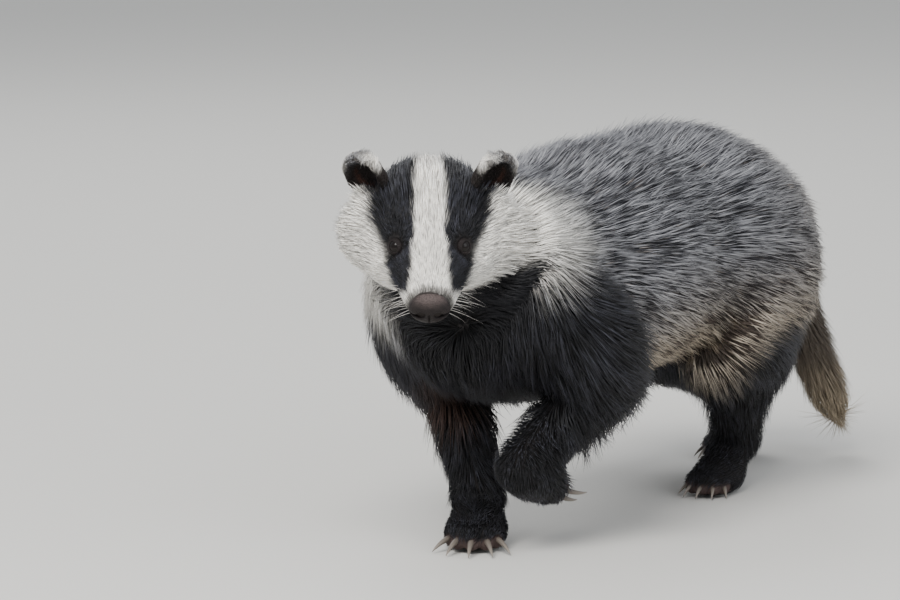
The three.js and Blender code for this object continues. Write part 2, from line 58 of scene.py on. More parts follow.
# No hair may pass these limits in x, y and z, in metres, and a whole metre is no limit
HAIR_LOW = (-0.1205, -1.0, 0.0004)
HAIR_HIGH = (0.1246, 1.0, 0.3194)
# The soles stand this far over the floor, and places away from every mass count as this far off
SKIN_FLOOR = 0.4
FAR = 80.0


def millimetres(x, y, z):
    return np.array((x, y, z), dtype=float)


def unit(vectors):
    return vectors / np.maximum(np.linalg.norm(vectors, axis=-1, keepdims=True), 1e-9)


def smoothstep(value, low, high):
    t = np.clip((value - low) / (high - low), 0.0, 1.0)
    return t * t * (3.0 - 2.0 * t)


def to_metres(points):
    return (points + ORIGIN_SHIFT) / 1000.0


# Head places are forward of the nose tip, to the animal's left, and up from the line of the nose
HEAD_YAW = math.radians(33.5)
HEAD_PITCH = math.radians(34)
NOSE_TIP = millimetres(49, -295, 201)
HEAD_FORWARD = np.array((
    math.sin(HEAD_YAW) * math.cos(HEAD_PITCH),
    -math.cos(HEAD_YAW) * math.cos(HEAD_PITCH),
    -math.sin(HEAD_PITCH),
))
HEAD_LEFT = np.array((math.cos(HEAD_YAW), math.sin(HEAD_YAW), 0.0))
HEAD_UP = -np.cross(HEAD_LEFT, HEAD_FORWARD)
FACE_TILT = HEAD_PITCH + CAMERA_RISE
EYE_RADIUS = 6.0
EYE_PLACE = (-52, 24, 19)
SOCKET_SHIFT = 3.0
EAR_PLACE = (-108, 47, 38)
EAR_HALF = (17, 21, 10)
EAR_WALL = 2.6
EAR_TURN = math.radians(28)
EAR_LEAN = math.radians(16)


def head(forward, left, up):
    return NOSE_TIP + forward * HEAD_FORWARD + left * HEAD_LEFT + up * HEAD_UP


def to_head(points):
    offset = points - NOSE_TIP
    return offset @ HEAD_FORWARD, offset @ HEAD_LEFT, offset @ HEAD_UP


# The animal is a soft union of oval masses, each with its own width and depth at both ends
MASS_MARGIN = 14.0


def mass(start, end, wide, deep, blend, up=UP):
    along = end - start
    axis = unit(along)
    side = unit(np.cross(axis, up))
    over = np.cross(side, axis)
    reach = max(*wide, *deep) + blend + MASS_MARGIN
    return {
        "start": start, "along": along, "axis": axis, "side": side, "over": over,
        "wide": wide, "deep": deep, "blend": blend,
        "low": np.minimum(start, end) - reach, "high": np.maximum(start, end) + reach,
    }


def distance_to(part, points):
    offset = points - part["start"]
    along = part["along"]
    t = np.clip(offset @ along / max(along @ along, 1e-6), 0.0, 1.0)
    offset = offset - t[..., None] * along
    w = part["wide"][0] + (part["wide"][1] - part["wide"][0]) * t
    d = part["deep"][0] + (part["deep"][1] - part["deep"][0]) * t
    r = (w + d) / 2.0
    x, y, z = offset @ part["side"], offset @ part["over"], offset @ part["axis"]
    near = np.sqrt((x / w) ** 2 + (y / d) ** 2 + (z / r) ** 2)
    slope = np.sqrt((x / w**2) ** 2 + (y / d**2) ** 2 + (z / r**2) ** 2)
    return np.where(slope < 1e-6, -np.minimum(w, d), near * (near - 1.0) / np.maximum(slope, 1e-9))


def soft_union(first, second, blend):
    h = np.maximum(blend - np.abs(first - second), 0.0) / blend
    return np.minimum(first, second) - h * h * blend / 4.0


def both_sides(make):
    return [made for side in (1, -1) for made in make(side)]


HEAD_MASSES = [
    mass(head(-13, 0, -1), head(-50, 0, 2), (14, 23), (12, 19), 10, HEAD_UP),
    mass(head(-50, 0, 2), head(-76, 0, 5), (24, 35), (21, 30), 14, HEAD_UP),
    mass(head(-76, 0, 6), head(-100, 0, 5), (36, 43), (31, 38), 18, HEAD_UP),
    *both_sides(lambda side: [
        mass(head(-18, 8 * side, -5), head(-36, 12 * side, -7), (9, 10), (8.5, 10), 6, HEAD_UP),
        mass(head(-72, 25 * side, -8), head(-100, 37 * side, -8), (19, 24), (20, 25), 18, HEAD_UP),
        mass(head(-60, 15 * side, 17), head(-76, 18 * side, 21), (9, 10), (8, 9), 12, HEAD_UP),
    ]),
    mass(head(-21, 0, -13), head(-58, 0, -19), (8, 17), (6, 9), 5, HEAD_UP),
    mass(head(-58, 0, -19), head(-80, 0, -22), (17, 22), (9, 12), 8, HEAD_UP),
]

BODY_MASSES = [
    mass(head(-100, 0, -16), millimetres(0, -140, 202), (36, 60), (32, 64), 30),
    mass(millimetres(0, -140, 200), millimetres(0, 10, 200), (62, 80), (64, 72), 30),
    mass(millimetres(0, 0, 200), millimetres(0, 140, 202), (80, 84), (72, 72), 30),
    mass(millimetres(0, 130, 202), millimetres(0, 206, 198), (82, 64), (72, 56), 30),
    mass(millimetres(0, -170, 172), millimetres(0, -100, 146), (34, 42), (32, 34), 28),
    mass(millimetres(50, -156, 196), millimetres(72, -116, 156), (34, 30), (36, 30), 24),
    mass(millimetres(-52, -150, 194), millimetres(-58, -130, 152), (34, 30), (36, 30), 24),
    mass(millimetres(50, 172, 186), millimetres(66, 116, 128), (42, 32), (50, 34), 26),
    mass(millimetres(-48, 184, 184), millimetres(-56, 176, 128), (42, 32), (50, 34), 26),
]

TAIL_ROOT = millimetres(0, 246, 204)
TAIL_BEND = millimetres(14, 300, 140)
TAIL_TIP = millimetres(40, 332, 46)
TAIL_MASSES = [
    mass(TAIL_ROOT, TAIL_BEND, (18, 12), (18, 12), 16),
    mass(TAIL_BEND, TAIL_TIP, (12, 7), (12, 7), 12),
]

# Each toe's angle to the paw and its length
FRONT_TOES = ((-38, 9), (-20, 14), (-1, 16), (18, 13), (37, 7))
HIND_TOES = ((-34, 8), (-17, 13), (0, 14), (17, 12), (33, 7))

# A limb stands at a place, or hangs from a wrist. Its toes turn to the animal's left and fall by these
# degrees. The wrist is behind the paw's middle by heel and above its sole by wrist_up. The paw reaches
# back and to each side by back and wide. The leg runs through its joints with these girths, and claw
# gives the length and thickness of its claws.
LIMBS = {
    "front_right": {
        "place": millimetres(2, -160, 0), "turn": 26, "fall": 0, "heel": 14, "back": 8, "wide": 22,
        "wrist_up": 36, "toes": FRONT_TOES, "toe_from": 19, "toe_thick": 6.6,
        "joints": [millimetres(-58, -134, 160), millimetres(-46, -122, 126)],
        "girth": (30, 25, 16), "claw": (21, 3.5),
    },
    "front_left": {
        "wrist": millimetres(52, -170, 68), "turn": 10, "fall": 138, "heel": 16, "back": 8, "wide": 21,
        "wrist_up": 16, "toes": FRONT_TOES, "toe_from": 19, "toe_thick": 6.6,
        "joints": [millimetres(72, -118, 156), millimetres(76, -104, 128)],
        "girth": (30, 26, 17), "claw": (21, 3.5),
    },
    "hind_left": {
        "place": millimetres(46, 130, 0), "turn": 8, "fall": 0, "heel": 40, "back": 14, "wide": 19,
        "wrist_up": 38, "toes": HIND_TOES, "toe_from": 18, "toe_thick": 6.0,
        "joints": [millimetres(60, 156, 168), millimetres(60, 140, 112)],
        "girth": (40, 33, 16), "claw": (12, 2.8),
    },
    "hind_right": {
        "place": millimetres(-28, 284, 0), "turn": 4, "fall": 0, "heel": 18, "back": 6, "wide": 18,
        "wrist_up": 52, "toes": HIND_TOES, "toe_from": 18, "toe_thick": 6.0,
        "joints": [millimetres(-54, 196, 165), millimetres(-54, 212, 108)],
        "girth": (40, 32, 15), "claw": (12, 2.8),
    },
}


def toe_way(turn, fall):
    turn, fall = math.radians(turn), math.radians(fall)
    return np.array((
        math.sin(turn) * math.cos(fall),
        -math.cos(turn) * math.cos(fall),
        -math.sin(fall),
    ))


def paw_top(turn, fall):
    turn, fall = math.radians(turn), math.radians(fall)
    return np.array((
        math.sin(turn) * math.sin(fall),
        -math.cos(turn) * math.sin(fall),
        math.cos(fall),
    ))


for limb in LIMBS.values():
    limb["way"] = toe_way(limb["turn"], limb["fall"])
    limb["top"] = paw_top(limb["turn"], limb["fall"])
    limb["across"] = -np.cross(limb["top"], limb["way"])
    if "wrist" in limb:
        limb["place"] = limb["wrist"] + limb["way"] * limb["heel"] - limb["top"] * limb["wrist_up"]
    else:
        limb["wrist"] = limb["place"] - limb["way"] * limb["heel"] + limb["top"] * limb["wrist_up"]


def paw_point(limb, x, y, z):
    return limb["place"] + x * limb["across"] + y * limb["way"] + z * limb["top"]


def leg_masses(limb):
    upper, elbow, wrist = limb["joints"][0], limb["joints"][1], limb["wrist"]
    g = limb["girth"]
    return [
        mass(upper, elbow, (g[0], g[1]), (g[0], g[1]), 18),
        mass(elbow, wrist, (g[1] * 0.8, g[2]), (g[1] * 0.9, g[2]), 14),
    ]


def toe_point(limb, fan, reach, high):
    """A place out along a toe, this far from the paw's middle and this high over the sole."""
    fan = math.radians(fan)
    return paw_point(limb, reach * math.sin(fan), reach * math.cos(fan), high)


TOE_BLEND = 3.5


def toe_masses(limb, fan, length):
    """A toe in two parts, which bends down at its knuckle."""
    top, start, thick = limb["top"], limb["toe_from"], limb["toe_thick"]
    s, c = math.sin(math.radians(fan)), math.cos(math.radians(fan))
    root = paw_point(limb, start * s * 1.25, start * c - 6, 10.5)
    knuckle = toe_point(limb, fan, start + length * 0.55, 11)
    tip = toe_point(limb, fan, start + length, 7.5)
    return [
        mass(root, knuckle, (thick, thick), (thick, thick), TOE_BLEND, top),
        mass(knuckle, tip, (thick, thick * 0.86), (thick, thick * 0.8), TOE_BLEND, top),
    ]


def paw_masses(limb):
    top, wide = limb["top"], limb["wide"]
    masses = [
        mass(limb["wrist"], paw_point(limb, 0, -4, 14), (15, wide), (15, 13), 10, top),
        mass(paw_point(limb, 0, -limb["back"], 12), paw_point(limb, 0, 8, 11),
             (wide * 0.8, wide), (12, 12), 10, top),
    ]
    for fan, length in limb["toes"]:
        masses += toe_masses(limb, fan, length)
    return masses


LEG_MASSES = [m for limb in LIMBS.values() for m in leg_masses(limb)]
PAW_MASSES = [m for limb in LIMBS.values() for m in paw_masses(limb)]
ALL_MASSES = BODY_MASSES + HEAD_MASSES + LEG_MASSES + TAIL_MASSES + PAW_MASSES


def turned(points, turn, lean):
    """Points in an ear's own axes: across, high and deep."""
    forward, left, up = points
    x = left * math.cos(lean) - up * math.sin(lean)
    high = left * math.sin(lean) + up * math.cos(lean)
    across = x * math.cos(turn) - forward * math.sin(turn)
    deep = x * math.sin(turn) + forward * math.cos(turn)
    return across, high, deep


def oval(across, up, deep, half):
    near = np.sqrt((across / half[0]) ** 2 + (up / half[1]) ** 2 + (deep / half[2]) ** 2)
    slope = np.sqrt((across / half[0]**2) ** 2 + (up / half[1]**2) ** 2 + (deep / half[2]**2) ** 2)
    return near * (near - 1.0) / np.maximum(slope, 1e-6)


def ear_axes(points, side):
    forward, left, up = to_head(points)
    local = (forward - EAR_PLACE[0], left - EAR_PLACE[1] * side, up - EAR_PLACE[2])
    return turned(local, EAR_TURN * side, EAR_LEAN * side)


def ear_hollow(across, high, deep):
    """Distance to the hollow that opens at the front of an ear."""
    half = (EAR_HALF[0] - EAR_WALL, EAR_HALF[1] - EAR_WALL, EAR_HALF[2])
    return oval(across, high - 1.0, deep - EAR_HALF[2] * 0.62, half)


def ear_distance(points, side):
    across, high, deep = ear_axes(points, side)
    return np.maximum(oval(across, high, deep, EAR_HALF), -ear_hollow(across, high, deep))


def eye_centre(side):
    return head(EYE_PLACE[0], EYE_PLACE[1] * side, EYE_PLACE[2])


def gaze_of(side):
    return unit(0.60 * HEAD_FORWARD + 0.56 * side * HEAD_LEFT + 0.57 * HEAD_UP)


def carve(values, points):
    """Ears, eye sockets and flat soles, on top of the union of masses."""
    for side in (1, -1):
        values = soft_union(values, ear_distance(points, side), 5.0)
        socket_centre = eye_centre(side) + SOCKET_SHIFT * gaze_of(side)
        socket = np.linalg.norm(points - socket_centre, axis=-1) - EYE_RADIUS
        values = -soft_union(-values, socket, 2.0)
    return np.maximum(values, SKIN_FLOOR - points[..., 2])


def skin_field(points):
    values = np.full(points.shape[:-1], FAR)
    for part in ALL_MASSES:
        near = np.all((points > part["low"]) & (points < part["high"]), axis=-1)
        values[near] = soft_union(values[near], distance_to(part, points[near]), part["blend"])
    return carve(values, points)


def normals_of(field, points, step=0.7):
    slope = [field(points + step * axis) - field(points - step * axis) for axis in np.eye(3)]
    return unit(np.stack(slope, -1))


# Surface of a field on a grid whose spacing may change along each axis
def stretched(*stops):
    """Grid stations through (place, spacing) stops, the spacing holding to the next stop."""
    stations = []
    for (low, spacing), (high, _) in zip(stops, stops[1:]):
        count = max(round((high - low) / spacing), 1)
        stations.extend(np.linspace(low, high, count, endpoint=False))
    stations.append(stops[-1][0])
    return np.array(stations)


def grid_values(xs, ys, zs, masses, extra):
    grid = np.stack(np.meshgrid(xs, ys, zs, indexing="ij"), -1)
    values = np.full(grid.shape[:-1], FAR)
    for part in masses:
        span = []
        for stations, low, high in zip((xs, ys, zs), part["low"], part["high"]):
            span.append(slice(np.searchsorted(stations, low), np.searchsorted(stations, high)))
        span = tuple(span)
        near = distance_to(part, grid[span])
        values[span] = soft_union(values[span], near, part["blend"])
    return extra(values, grid)


def surface_net(xs, ys, zs, values):
    """Vertices and quads where the values cross zero, one vertex in each crossed cell."""
    inside = values < 0.0
    shape = tuple(n - 1 for n in inside.shape)
    corners = [(a, b, c) for a in (0, 1) for b in (0, 1) for c in (0, 1)]

    def part(array, corner):
        return array[tuple(slice(o, o + n) for o, n in zip(corner, shape))]

    count = sum(part(inside, corner).astype(int) for corner in corners)
    crossed = (count > 0) & (count < 8)
    index = np.full(shape, -1)
    index[crossed] = np.arange(crossed.sum())
    cells = np.argwhere(crossed)
    stations = (xs, ys, zs)
    total = np.zeros((len(cells), 3))
    hits = np.zeros(len(cells))
    for start in corners:
        for axis in range(3):
            if start[axis]:
                continue
            end = tuple(1 if i == axis else o for i, o in enumerate(start))
            first = values[tuple((cells + start).T)]
            second = values[tuple((cells + end).T)]
            cut = (first < 0) != (second < 0)
            t = np.where(cut, first / np.where(cut, first - second, 1.0), 0.0)
            a = np.stack([stations[i][cells[:, i] + start[i]] for i in range(3)], -1)
            b = np.stack([stations[i][cells[:, i] + end[i]] for i in range(3)], -1)
            total += np.where(cut[:, None], a + t[:, None] * (b - a), 0.0)
            hits += cut
    quads = []
    for axis in range(3):
        other = [i for i in range(3) if i != axis]
        low = tuple(slice(1, -1) if i != axis else slice(0, -1) for i in range(3))
        high = tuple(slice(1, -1) if i != axis else slice(1, None) for i in range(3))
        for outward in (True, False):
            edge = inside[low] & ~inside[high] if outward else ~inside[low] & inside[high]
            at = np.argwhere(edge)
            at[:, other] += 1
            ring = []
            for offset in ((0, 0), (1, 0), (1, 1), (0, 1)):
                cell = at.copy()
                cell[:, other[0]] -= offset[0]
                cell[:, other[1]] -= offset[1]
                ring.append(index[tuple(cell.T)])
            ring = np.stack(ring, -1)
            flip = outward != (axis == 1)
            quads.append(ring if flip else ring[:, ::-1])
    return total / hits[:, None], np.concatenate(quads)


def settle(points, field, rounds=2):
    for _ in range(rounds):
        points = points - field(points)[:, None] * normals_of(field, points)
    return points


def skin_surface():
    head_step, body_step = 2.4, 4.6
    xs = stretched((-140, body_step), (-78, head_step), (78, body_step), (140, 0))
    ys = stretched((-350, head_step), (-150, body_step), (66, head_step), (158, body_step),
                   (216, head_step), (290, body_step), (360, 0))
    zs = stretched((-6, 2.2), (46, body_step), (186, head_step), (318, body_step), (330, 0))
    values = grid_values(xs, ys, zs, ALL_MASSES, carve)
    points, quads = surface_net(xs, ys, zs, values)
    return settle(points, skin_field), quads


# Meshes and attributes
def new_mesh(name, points, faces):
    mesh = bpy.data.meshes.new(name)
    mesh.from_pydata(to_metres(np.asarray(points)).tolist(), [], np.asarray(faces).tolist())
    mesh.shade_smooth()
    return mesh


def new_piece(name, mesh, material=None):
    piece = bpy.data.objects.new(name, mesh)
    bpy.context.scene.collection.objects.link(piece)
    if material:
        mesh.materials.clear()
        mesh.materials.append(material)
    return piece


def store(mesh, name, kind, values, domain="POINT"):
    attribute = mesh.attributes.new(name, kind, domain)
    field = {"FLOAT": "value", "INT": "value", "FLOAT_VECTOR": "vector", "FLOAT_COLOR": "color"}[kind]
    attribute.data.foreach_set(field, np.ascontiguousarray(values).ravel())


def mix(first, second, share):
    return first + (np.asarray(second, dtype=float) - first) * share[..., None]


def between(first, second, share):
    return first * (1 - share) + second * share


def paint(tones, share, *colours):
    """Mixes colours into the hair's root, band and tip, or one colour into all three."""
    for tone, colour in zip(tones, colours * 3 if len(colours) == 1 else colours):
        tone[:] = mix(tone, colour, share)


# Colours of the hair
WHITE = (0.96, 0.93, 0.87)
BLACK = (0.010, 0.010, 0.012)
# Tips of the black hair: greyish tips, with a painted bluish sheen in their colour
SHEENED_SLATE_TIP = (0.040, 0.041, 0.053)
GREY_ROOT = (0.30, 0.27, 0.25)
GREY_BAND = (0.026, 0.026, 0.032)
GREY_TIP = (0.35, 0.35, 0.37)
BUFF = (0.40, 0.315, 0.225)
BUFF_BAND = (0.075, 0.055, 0.042)
BUFF_TIP = (0.56, 0.475, 0.365)
TAIL_BROWN = (0.105, 0.085, 0.068)
TAIL_BUFF = (0.40, 0.325, 0.23)
ARM_BROWN = (0.060, 0.030, 0.020)
TOE_PINK = (0.115, 0.075, 0.068)
EAR_DARK = (0.020, 0.015, 0.014)
EAR_RED = (0.115, 0.050, 0.034)


# Half width between the dark bands of the head by distance behind the nose tip, and half width over
# their outer edges by height up the face as the camera sees it
BAND_INNER = ((6, 14, 26, 45, 60, 90, 112, 135), (17, 15.2, 12.0, 11.0, 10.2, 9.8, 9.2, 8.6))
BAND_OUTER = ((10, 18, 28, 42, 56, 75, 96, 120), (21, 24, 26, 31, 35, 37.5, 39.5, 38))
BAND_BLUR = 1.5

# How high the black of the shoulders and of the thighs reaches, along the trunk
SHOULDER_BLACK = ((-200.0, -140.0, -100.0, -62.0), (226.0, 216.0, 190.0, 156.0))
THIGH_BLACK = ((84.0, 120.0, 180.0, 240.0), (136.0, 154.0, 166.0, 174.0))
NECK_LOW_RIGHT = 180.0
NECK_LOW_LEFT = 210.0


def head_share(points):
    """1 on the head, 0 on the body, and a soft change behind the cheeks."""
    forward, left, up = to_head(points)
    return smoothstep(forward, -150.0, -128.0) * smoothstep(-np.hypot(left, up), -82.0, -68.0)


def on_tail(points):
    near = np.minimum(distance_to(TAIL_MASSES[0], points), distance_to(TAIL_MASSES[1], points))
    return (near < 6.0) & (points[:, 1] > 258.0)


def ear_part(points, side):
    """Which points are on one ear, and the place of every point in its axes."""
    local = np.stack(ear_axes(points, side), -1)
    return (ear_distance(points, side) < 2.2) & (local[:, 1] > -15.0), local


def on_ear(points):
    """Which points are on either ear, and their places in its axes, with across outwards."""
    mine = np.zeros(len(points), dtype=bool)
    place = np.zeros((len(points), 3))
    for side in (1, -1):
        ear, local = ear_part(points, side)
        mine |= ear
        place[ear] = local[ear] * (side, 1, 1)
    return mine, place


def ear_rim(local):
    """1 on the upper part of an ear outside its hollow, where the hair is white."""
    across, high, deep = local.T
    return smoothstep(ear_hollow(across, high, deep), 0.5, 1.6) * smoothstep(high + 0.2 * across, 3.0, 9.0)


def level_tones(count, colours):
    return [np.tile(np.array(colour), (count, 1)) for colour in colours]


def body_tones(points, normals):
    """Grizzled back, buff belly, pale neck and black throat, chest, legs and feet."""
    x, y, z = points.T
    tones = level_tones(len(points), (GREY_ROOT, GREY_BAND, GREY_TIP))
    belly = smoothstep(-normals[:, 2], 0.0, 0.7)
    flank = 0.85 * smoothstep(215.0 - z, 0.0, 70.0) + 0.3 * smoothstep(y, 60.0, 240.0)
    buff = np.clip(np.maximum(belly, flank), 0.0, 0.95) * smoothstep(y, -110.0, -20.0)
    paint(tones, buff, BUFF, BUFF_BAND, BUFF_TIP)

    neck_low = np.where(x < 0.0, NECK_LOW_RIGHT, NECK_LOW_LEFT)
    neck = smoothstep(-y, 108.0, 170.0) * smoothstep(z - neck_low, 0.0, 32.0)
    neck = neck * smoothstep(272.0 - z, 0.0, 26.0) * smoothstep(np.abs(x), 22.0, 44.0)
    paint(tones, neck * np.where(x < 0.0, 0.7, 0.88), WHITE)

    shoulder_line = np.minimum(np.interp(y, *SHOULDER_BLACK), neck_low + 8.0)
    shoulder = smoothstep(shoulder_line - z, -7.0, 9.0) * smoothstep(-y, 52.0, 78.0)
    thigh = smoothstep(np.interp(y, *THIGH_BLACK) - z, -10.0, 10.0) * smoothstep(y, 72.0, 96.0)
    feet = smoothstep(70.0 - z, 0.0, 12.0)
    # The black hair has slate tips, which carry a painted bluish sheen
    paint(tones, np.maximum(np.maximum(shoulder, thigh), feet), BLACK, BLACK, SHEENED_SLATE_TIP)

    inner_arm = smoothstep(x, -62.0, -30.0) * smoothstep(-10.0 - x, 0.0, 20.0)
    inner_arm = inner_arm * smoothstep(-y, 120.0, 140.0)
    inner_arm = inner_arm * smoothstep(z, 92.0, 112.0) * smoothstep(168.0 - z, 0.0, 24.0)
    paint(tones, inner_arm * 0.8, ARM_BROWN)
    paint(tones, toe_share(points), TOE_PINK)

    # The tail is brown at its root and paler towards its tip
    tail_tone = level_tones(len(points), (TAIL_BROWN,))
    paint(tail_tone, smoothstep(118.0 - z, 0.0, 66.0), TAIL_BUFF)
    paint(tones, on_tail(points) * smoothstep(y, 250.0, 272.0), *tail_tone)
    return tones


def face_tones(points):
    """White ground, a black band with slate tips from the nose through each eye to the ear, and a black
    throat; the slate tips carry a painted bluish sheen.
    """
    forward, left, up = to_head(points)
    side = np.abs(left)
    tones = level_tones(len(points), (WHITE, WHITE, WHITE))
    seen_high = up * math.cos(FACE_TILT) - forward * math.sin(FACE_TILT)
    inner = np.interp(-forward, *BAND_INNER)
    outer = np.interp(seen_high, *BAND_OUTER)
    band = smoothstep(side - inner, -BAND_BLUR, BAND_BLUR) * smoothstep(outer - side, -BAND_BLUR, BAND_BLUR)
    band = band * smoothstep(seen_high, 9.0, 15.0) * smoothstep(up, -16.0, -10.0)
    paint(tones, band, BLACK, BLACK, SHEENED_SLATE_TIP)

    throat = smoothstep(-22.0 - up, -3.0, 5.0) * smoothstep(-forward, 26.0, 46.0)
    throat = throat * (1.0 - smoothstep(-forward, 76.0, 100.0) * smoothstep(side, 22.0, 36.0))
    paint(tones, throat, BLACK)

    ear, local = on_ear(points)
    across, high, deep = local.T
    hollow = smoothstep(11.0 - np.hypot(across - 1.0, (high + 1.0) * 0.8), 0.0, 5.0) * (deep > -2.0) * ear
    paint(tones, ear * 1.0, EAR_DARK)
    paint(tones, hollow * 0.9, EAR_RED)
    paint(tones, ear * ear_rim(local), WHITE)

    # Skin that the nose pad covers
    paint(tones, smoothstep(forward, -13.5, -11.5), EAR_DARK)
    return tones


def markings(points, normals):
    """Three colours for each place on the skin: the hair's root, band and tip."""
    tones = body_tones(points, normals)
    paint(tones, head_share(points), *face_tones(points))
    return tones


def eye_nearness(points, spread):
    """1 at the rim of an eye and 0 beyond the spread, and the way out from the eye."""
    near = np.zeros(len(points))
    outward = np.zeros((len(points), 3))
    for side in (1, -1):
        away = points - eye_centre(side)
        gap = np.linalg.norm(away, axis=-1)
        share = 1.0 - smoothstep(gap, EYE_RADIUS + 1.0, EYE_RADIUS + spread)
        near = np.maximum(near, share)
        outward += unit(away) * share[:, None]
    return near, outward


# Near an eye the hair is short and points away from it, and near a paw's middle it is short and
# points along the toes, within these distances
EYE_CLEARANCE = 13.0
FOOT_REACH = 44.0
LIFTED_REACH = 28.0
# Down a leg the hair lies a little backwards
DOWN_LEG = np.array((0.0, 0.3, -1.0))


def coat_lie(points, normals):
    """The way the hair lies: back from the nose, back along the body, down the legs and tail."""
    x, y, z = points.T
    forward, left, up = to_head(points)
    flank = smoothstep(np.abs(normals[:, 0]), 0.3, 0.95) * smoothstep(265.0 - z, 0.0, 120.0)
    chest = smoothstep(-y, 120.0, 200.0) * smoothstep(0.2 - normals[:, 1], 0.0, 0.8)
    body = np.stack([0.0 * x, 1.0 - 0.8 * chest, -0.5 * flank - 0.9 * chest], -1)
    body = between(body, DOWN_LEG, smoothstep(150.0 - z, 0.0, 50.0)[:, None])
    cheek = smoothstep(np.abs(left), 18.0, 45.0) * smoothstep(-forward, 30.0, 80.0)
    cheek = cheek * smoothstep(34.0 - up, 0.0, 20.0)
    facing = smoothstep(normals @ HEAD_FORWARD, -0.6, 0.1)[:, None]
    outward = np.sign(left)[:, None] * HEAD_LEFT * 0.8 * facing
    face = -HEAD_FORWARD + cheek[:, None] * (outward - HEAD_UP * 0.7)
    lie = between(body, face, head_share(points)[:, None])
    lie[on_tail(points)] = unit(TAIL_TIP - TAIL_BEND)
    for limb in LIMBS.values():
        reach = LIFTED_REACH if limb["fall"] else FOOT_REACH
        lie[np.linalg.norm(points - limb["place"], axis=-1) < reach] = limb["way"]
    for side in (1, -1):
        ear, local = ear_part(points, side)
        lie[ear] = unit(HEAD_UP + 0.03 * local[ear, :1] * HEAD_LEFT)
    _, outward = eye_nearness(points, EYE_CLEARANCE)
    lie = unit(lie) + outward * 1.6
    return unit(lie - (lie * normals).sum(-1, keepdims=True) * normals)


# How deep the coat stands over the skin
SHOULDER_DEPTH = 16.0
RUMP_DEPTH = 22.0
LEG_DEPTH = 5.5
PAW_DEPTH = 2.0
TAIL_DEPTH = 13.0
FACE_DEPTH = 0.9
EYE_DEPTH = 0.6


def coat_depth(points, cheek, back, rim):
    """Deepest on the rump and cheeks, thin on the legs, and thinnest on the muzzle and round the eyes."""
    x, y, z = points.T
    depth = SHOULDER_DEPTH + (RUMP_DEPTH - SHOULDER_DEPTH) * smoothstep(y, -230.0, 60.0)
    depth = depth - 6.0 * smoothstep(190.0 - z, 0.0, 90.0)
    depth = depth - 4.0 * smoothstep(np.abs(x), 72.0, 84.0) * smoothstep(y, -60.0, 0.0)
    depth = between(depth, LEG_DEPTH, smoothstep(130.0 - z, 0.0, 80.0))
    depth = between(depth, PAW_DEPTH, smoothstep(46.0 - z, 0.0, 26.0))
    depth = between(depth, FACE_DEPTH + back * (10.5 + 6.0 * cheek), head_share(points))
    depth[on_tail(points)] = TAIL_DEPTH
    ears, _ = on_ear(points)
    depth[ears] = 1.0 + 3.0 * rim[ears]
    near, _ = eye_nearness(points, EYE_CLEARANCE)
    return between(depth, EYE_DEPTH, near)


def coat_length(points, depth, cheek, back, rim):
    """Longer where the coat is deep and on the chest, shorter behind the cheeks, at the ears and the feet."""
    _, y, z = points.T
    forward, left, _ = to_head(points)
    on_head = head_share(points)
    behind_cheek = smoothstep(-forward, 86.0, 104.0) * smoothstep(150.0 + forward, 0.0, 20.0)
    behind_cheek = behind_cheek * smoothstep(np.abs(left), 30.0, 44.0)
    chest = smoothstep(-y, 70.0, 120.0) * smoothstep(200.0 - z, 0.0, 40.0) * smoothstep(z, 60.0, 110.0)
    length = 6.5 + 2.1 * depth + 15.0 * chest * (1 - on_head)
    length = length + 5.0 * on_head * cheek * back - 9.0 * behind_cheek
    ear_gap = np.minimum(ear_distance(points, 1), ear_distance(points, -1))
    length = length * (0.55 + 0.45 * smoothstep(ear_gap, 2.0, 12.0))
    ears, _ = on_ear(points)
    length[ears] = 3.2 + 7.3 * rim[ears]
    near, _ = eye_nearness(points, EYE_CLEARANCE)
    length = between(length, 4.5, near)
    foot = np.minimum.reduce([np.linalg.norm(points - limb["place"], axis=-1) for limb in LIMBS.values()])
    return np.where(foot < FOOT_REACH, np.minimum(length, 9.0), length)


def coat_sizes(points):
    """How deep the coat stands, how long its hair is, how wide a tuft is and how close they grow."""
    forward, left, up = to_head(points)
    back = smoothstep(-forward, 20.0, 110.0)
    cheek = smoothstep(np.abs(left), 20.0, 48.0) * smoothstep(20.0 - up, 0.0, 30.0)
    ears, local = on_ear(points)
    rim = ear_rim(local)
    depth = coat_depth(points, cheek, back, rim)
    length = coat_length(points, depth, cheek, back, rim)
    width = 0.36 + 0.036 * depth
    crowd = (1.0 + 1.5 * rim * ears) / (width * (length**0.5))
    return depth, length, width, crowd


# The coat's pieces and the number of tufts planned for each
ZONES = {
    "coat_face": 19200, "coat_cheeks_and_crown": 19200, "coat_neck": 18500, "coat_shoulders": 16500,
    "coat_ribs": 16500, "coat_loin": 16500, "coat_rump": 17500, "coat_forelegs": 12500,
    "coat_hind_legs": 8000, "coat_tail": 5000,
}
ZONE_NAMES = list(ZONES)
HEAD_ZONES = ZONE_NAMES[:2]
UPRIGHT_ZONES = ZONE_NAMES[-3:]


def zones_of(points):
    """The number of the coat piece that each place belongs to."""
    _, y, z = points.T
    forward, _, _ = to_head(points)
    zone = np.select(
        [y < -125.0, y < -30.0, y < 70.0, y < 160.0],
        [ZONE_NAMES.index(name) for name in ("coat_neck", "coat_shoulders", "coat_ribs", "coat_loin")],
        ZONE_NAMES.index("coat_rump"),
    )
    on_head = head_share(points) > 0.5
    for name, mine in (
        ("coat_forelegs", (z < 128.0) & (y < -60.0)),
        ("coat_hind_legs", (z < 112.0) & (y > 60.0)),
        ("coat_tail", on_tail(points)),
        ("coat_face", on_head & (forward > -78.0)),
        ("coat_cheeks_and_crown", on_head & (forward <= -78.0)),
    ):
        zone[mine] = ZONE_NAMES.index(name)
    return zone


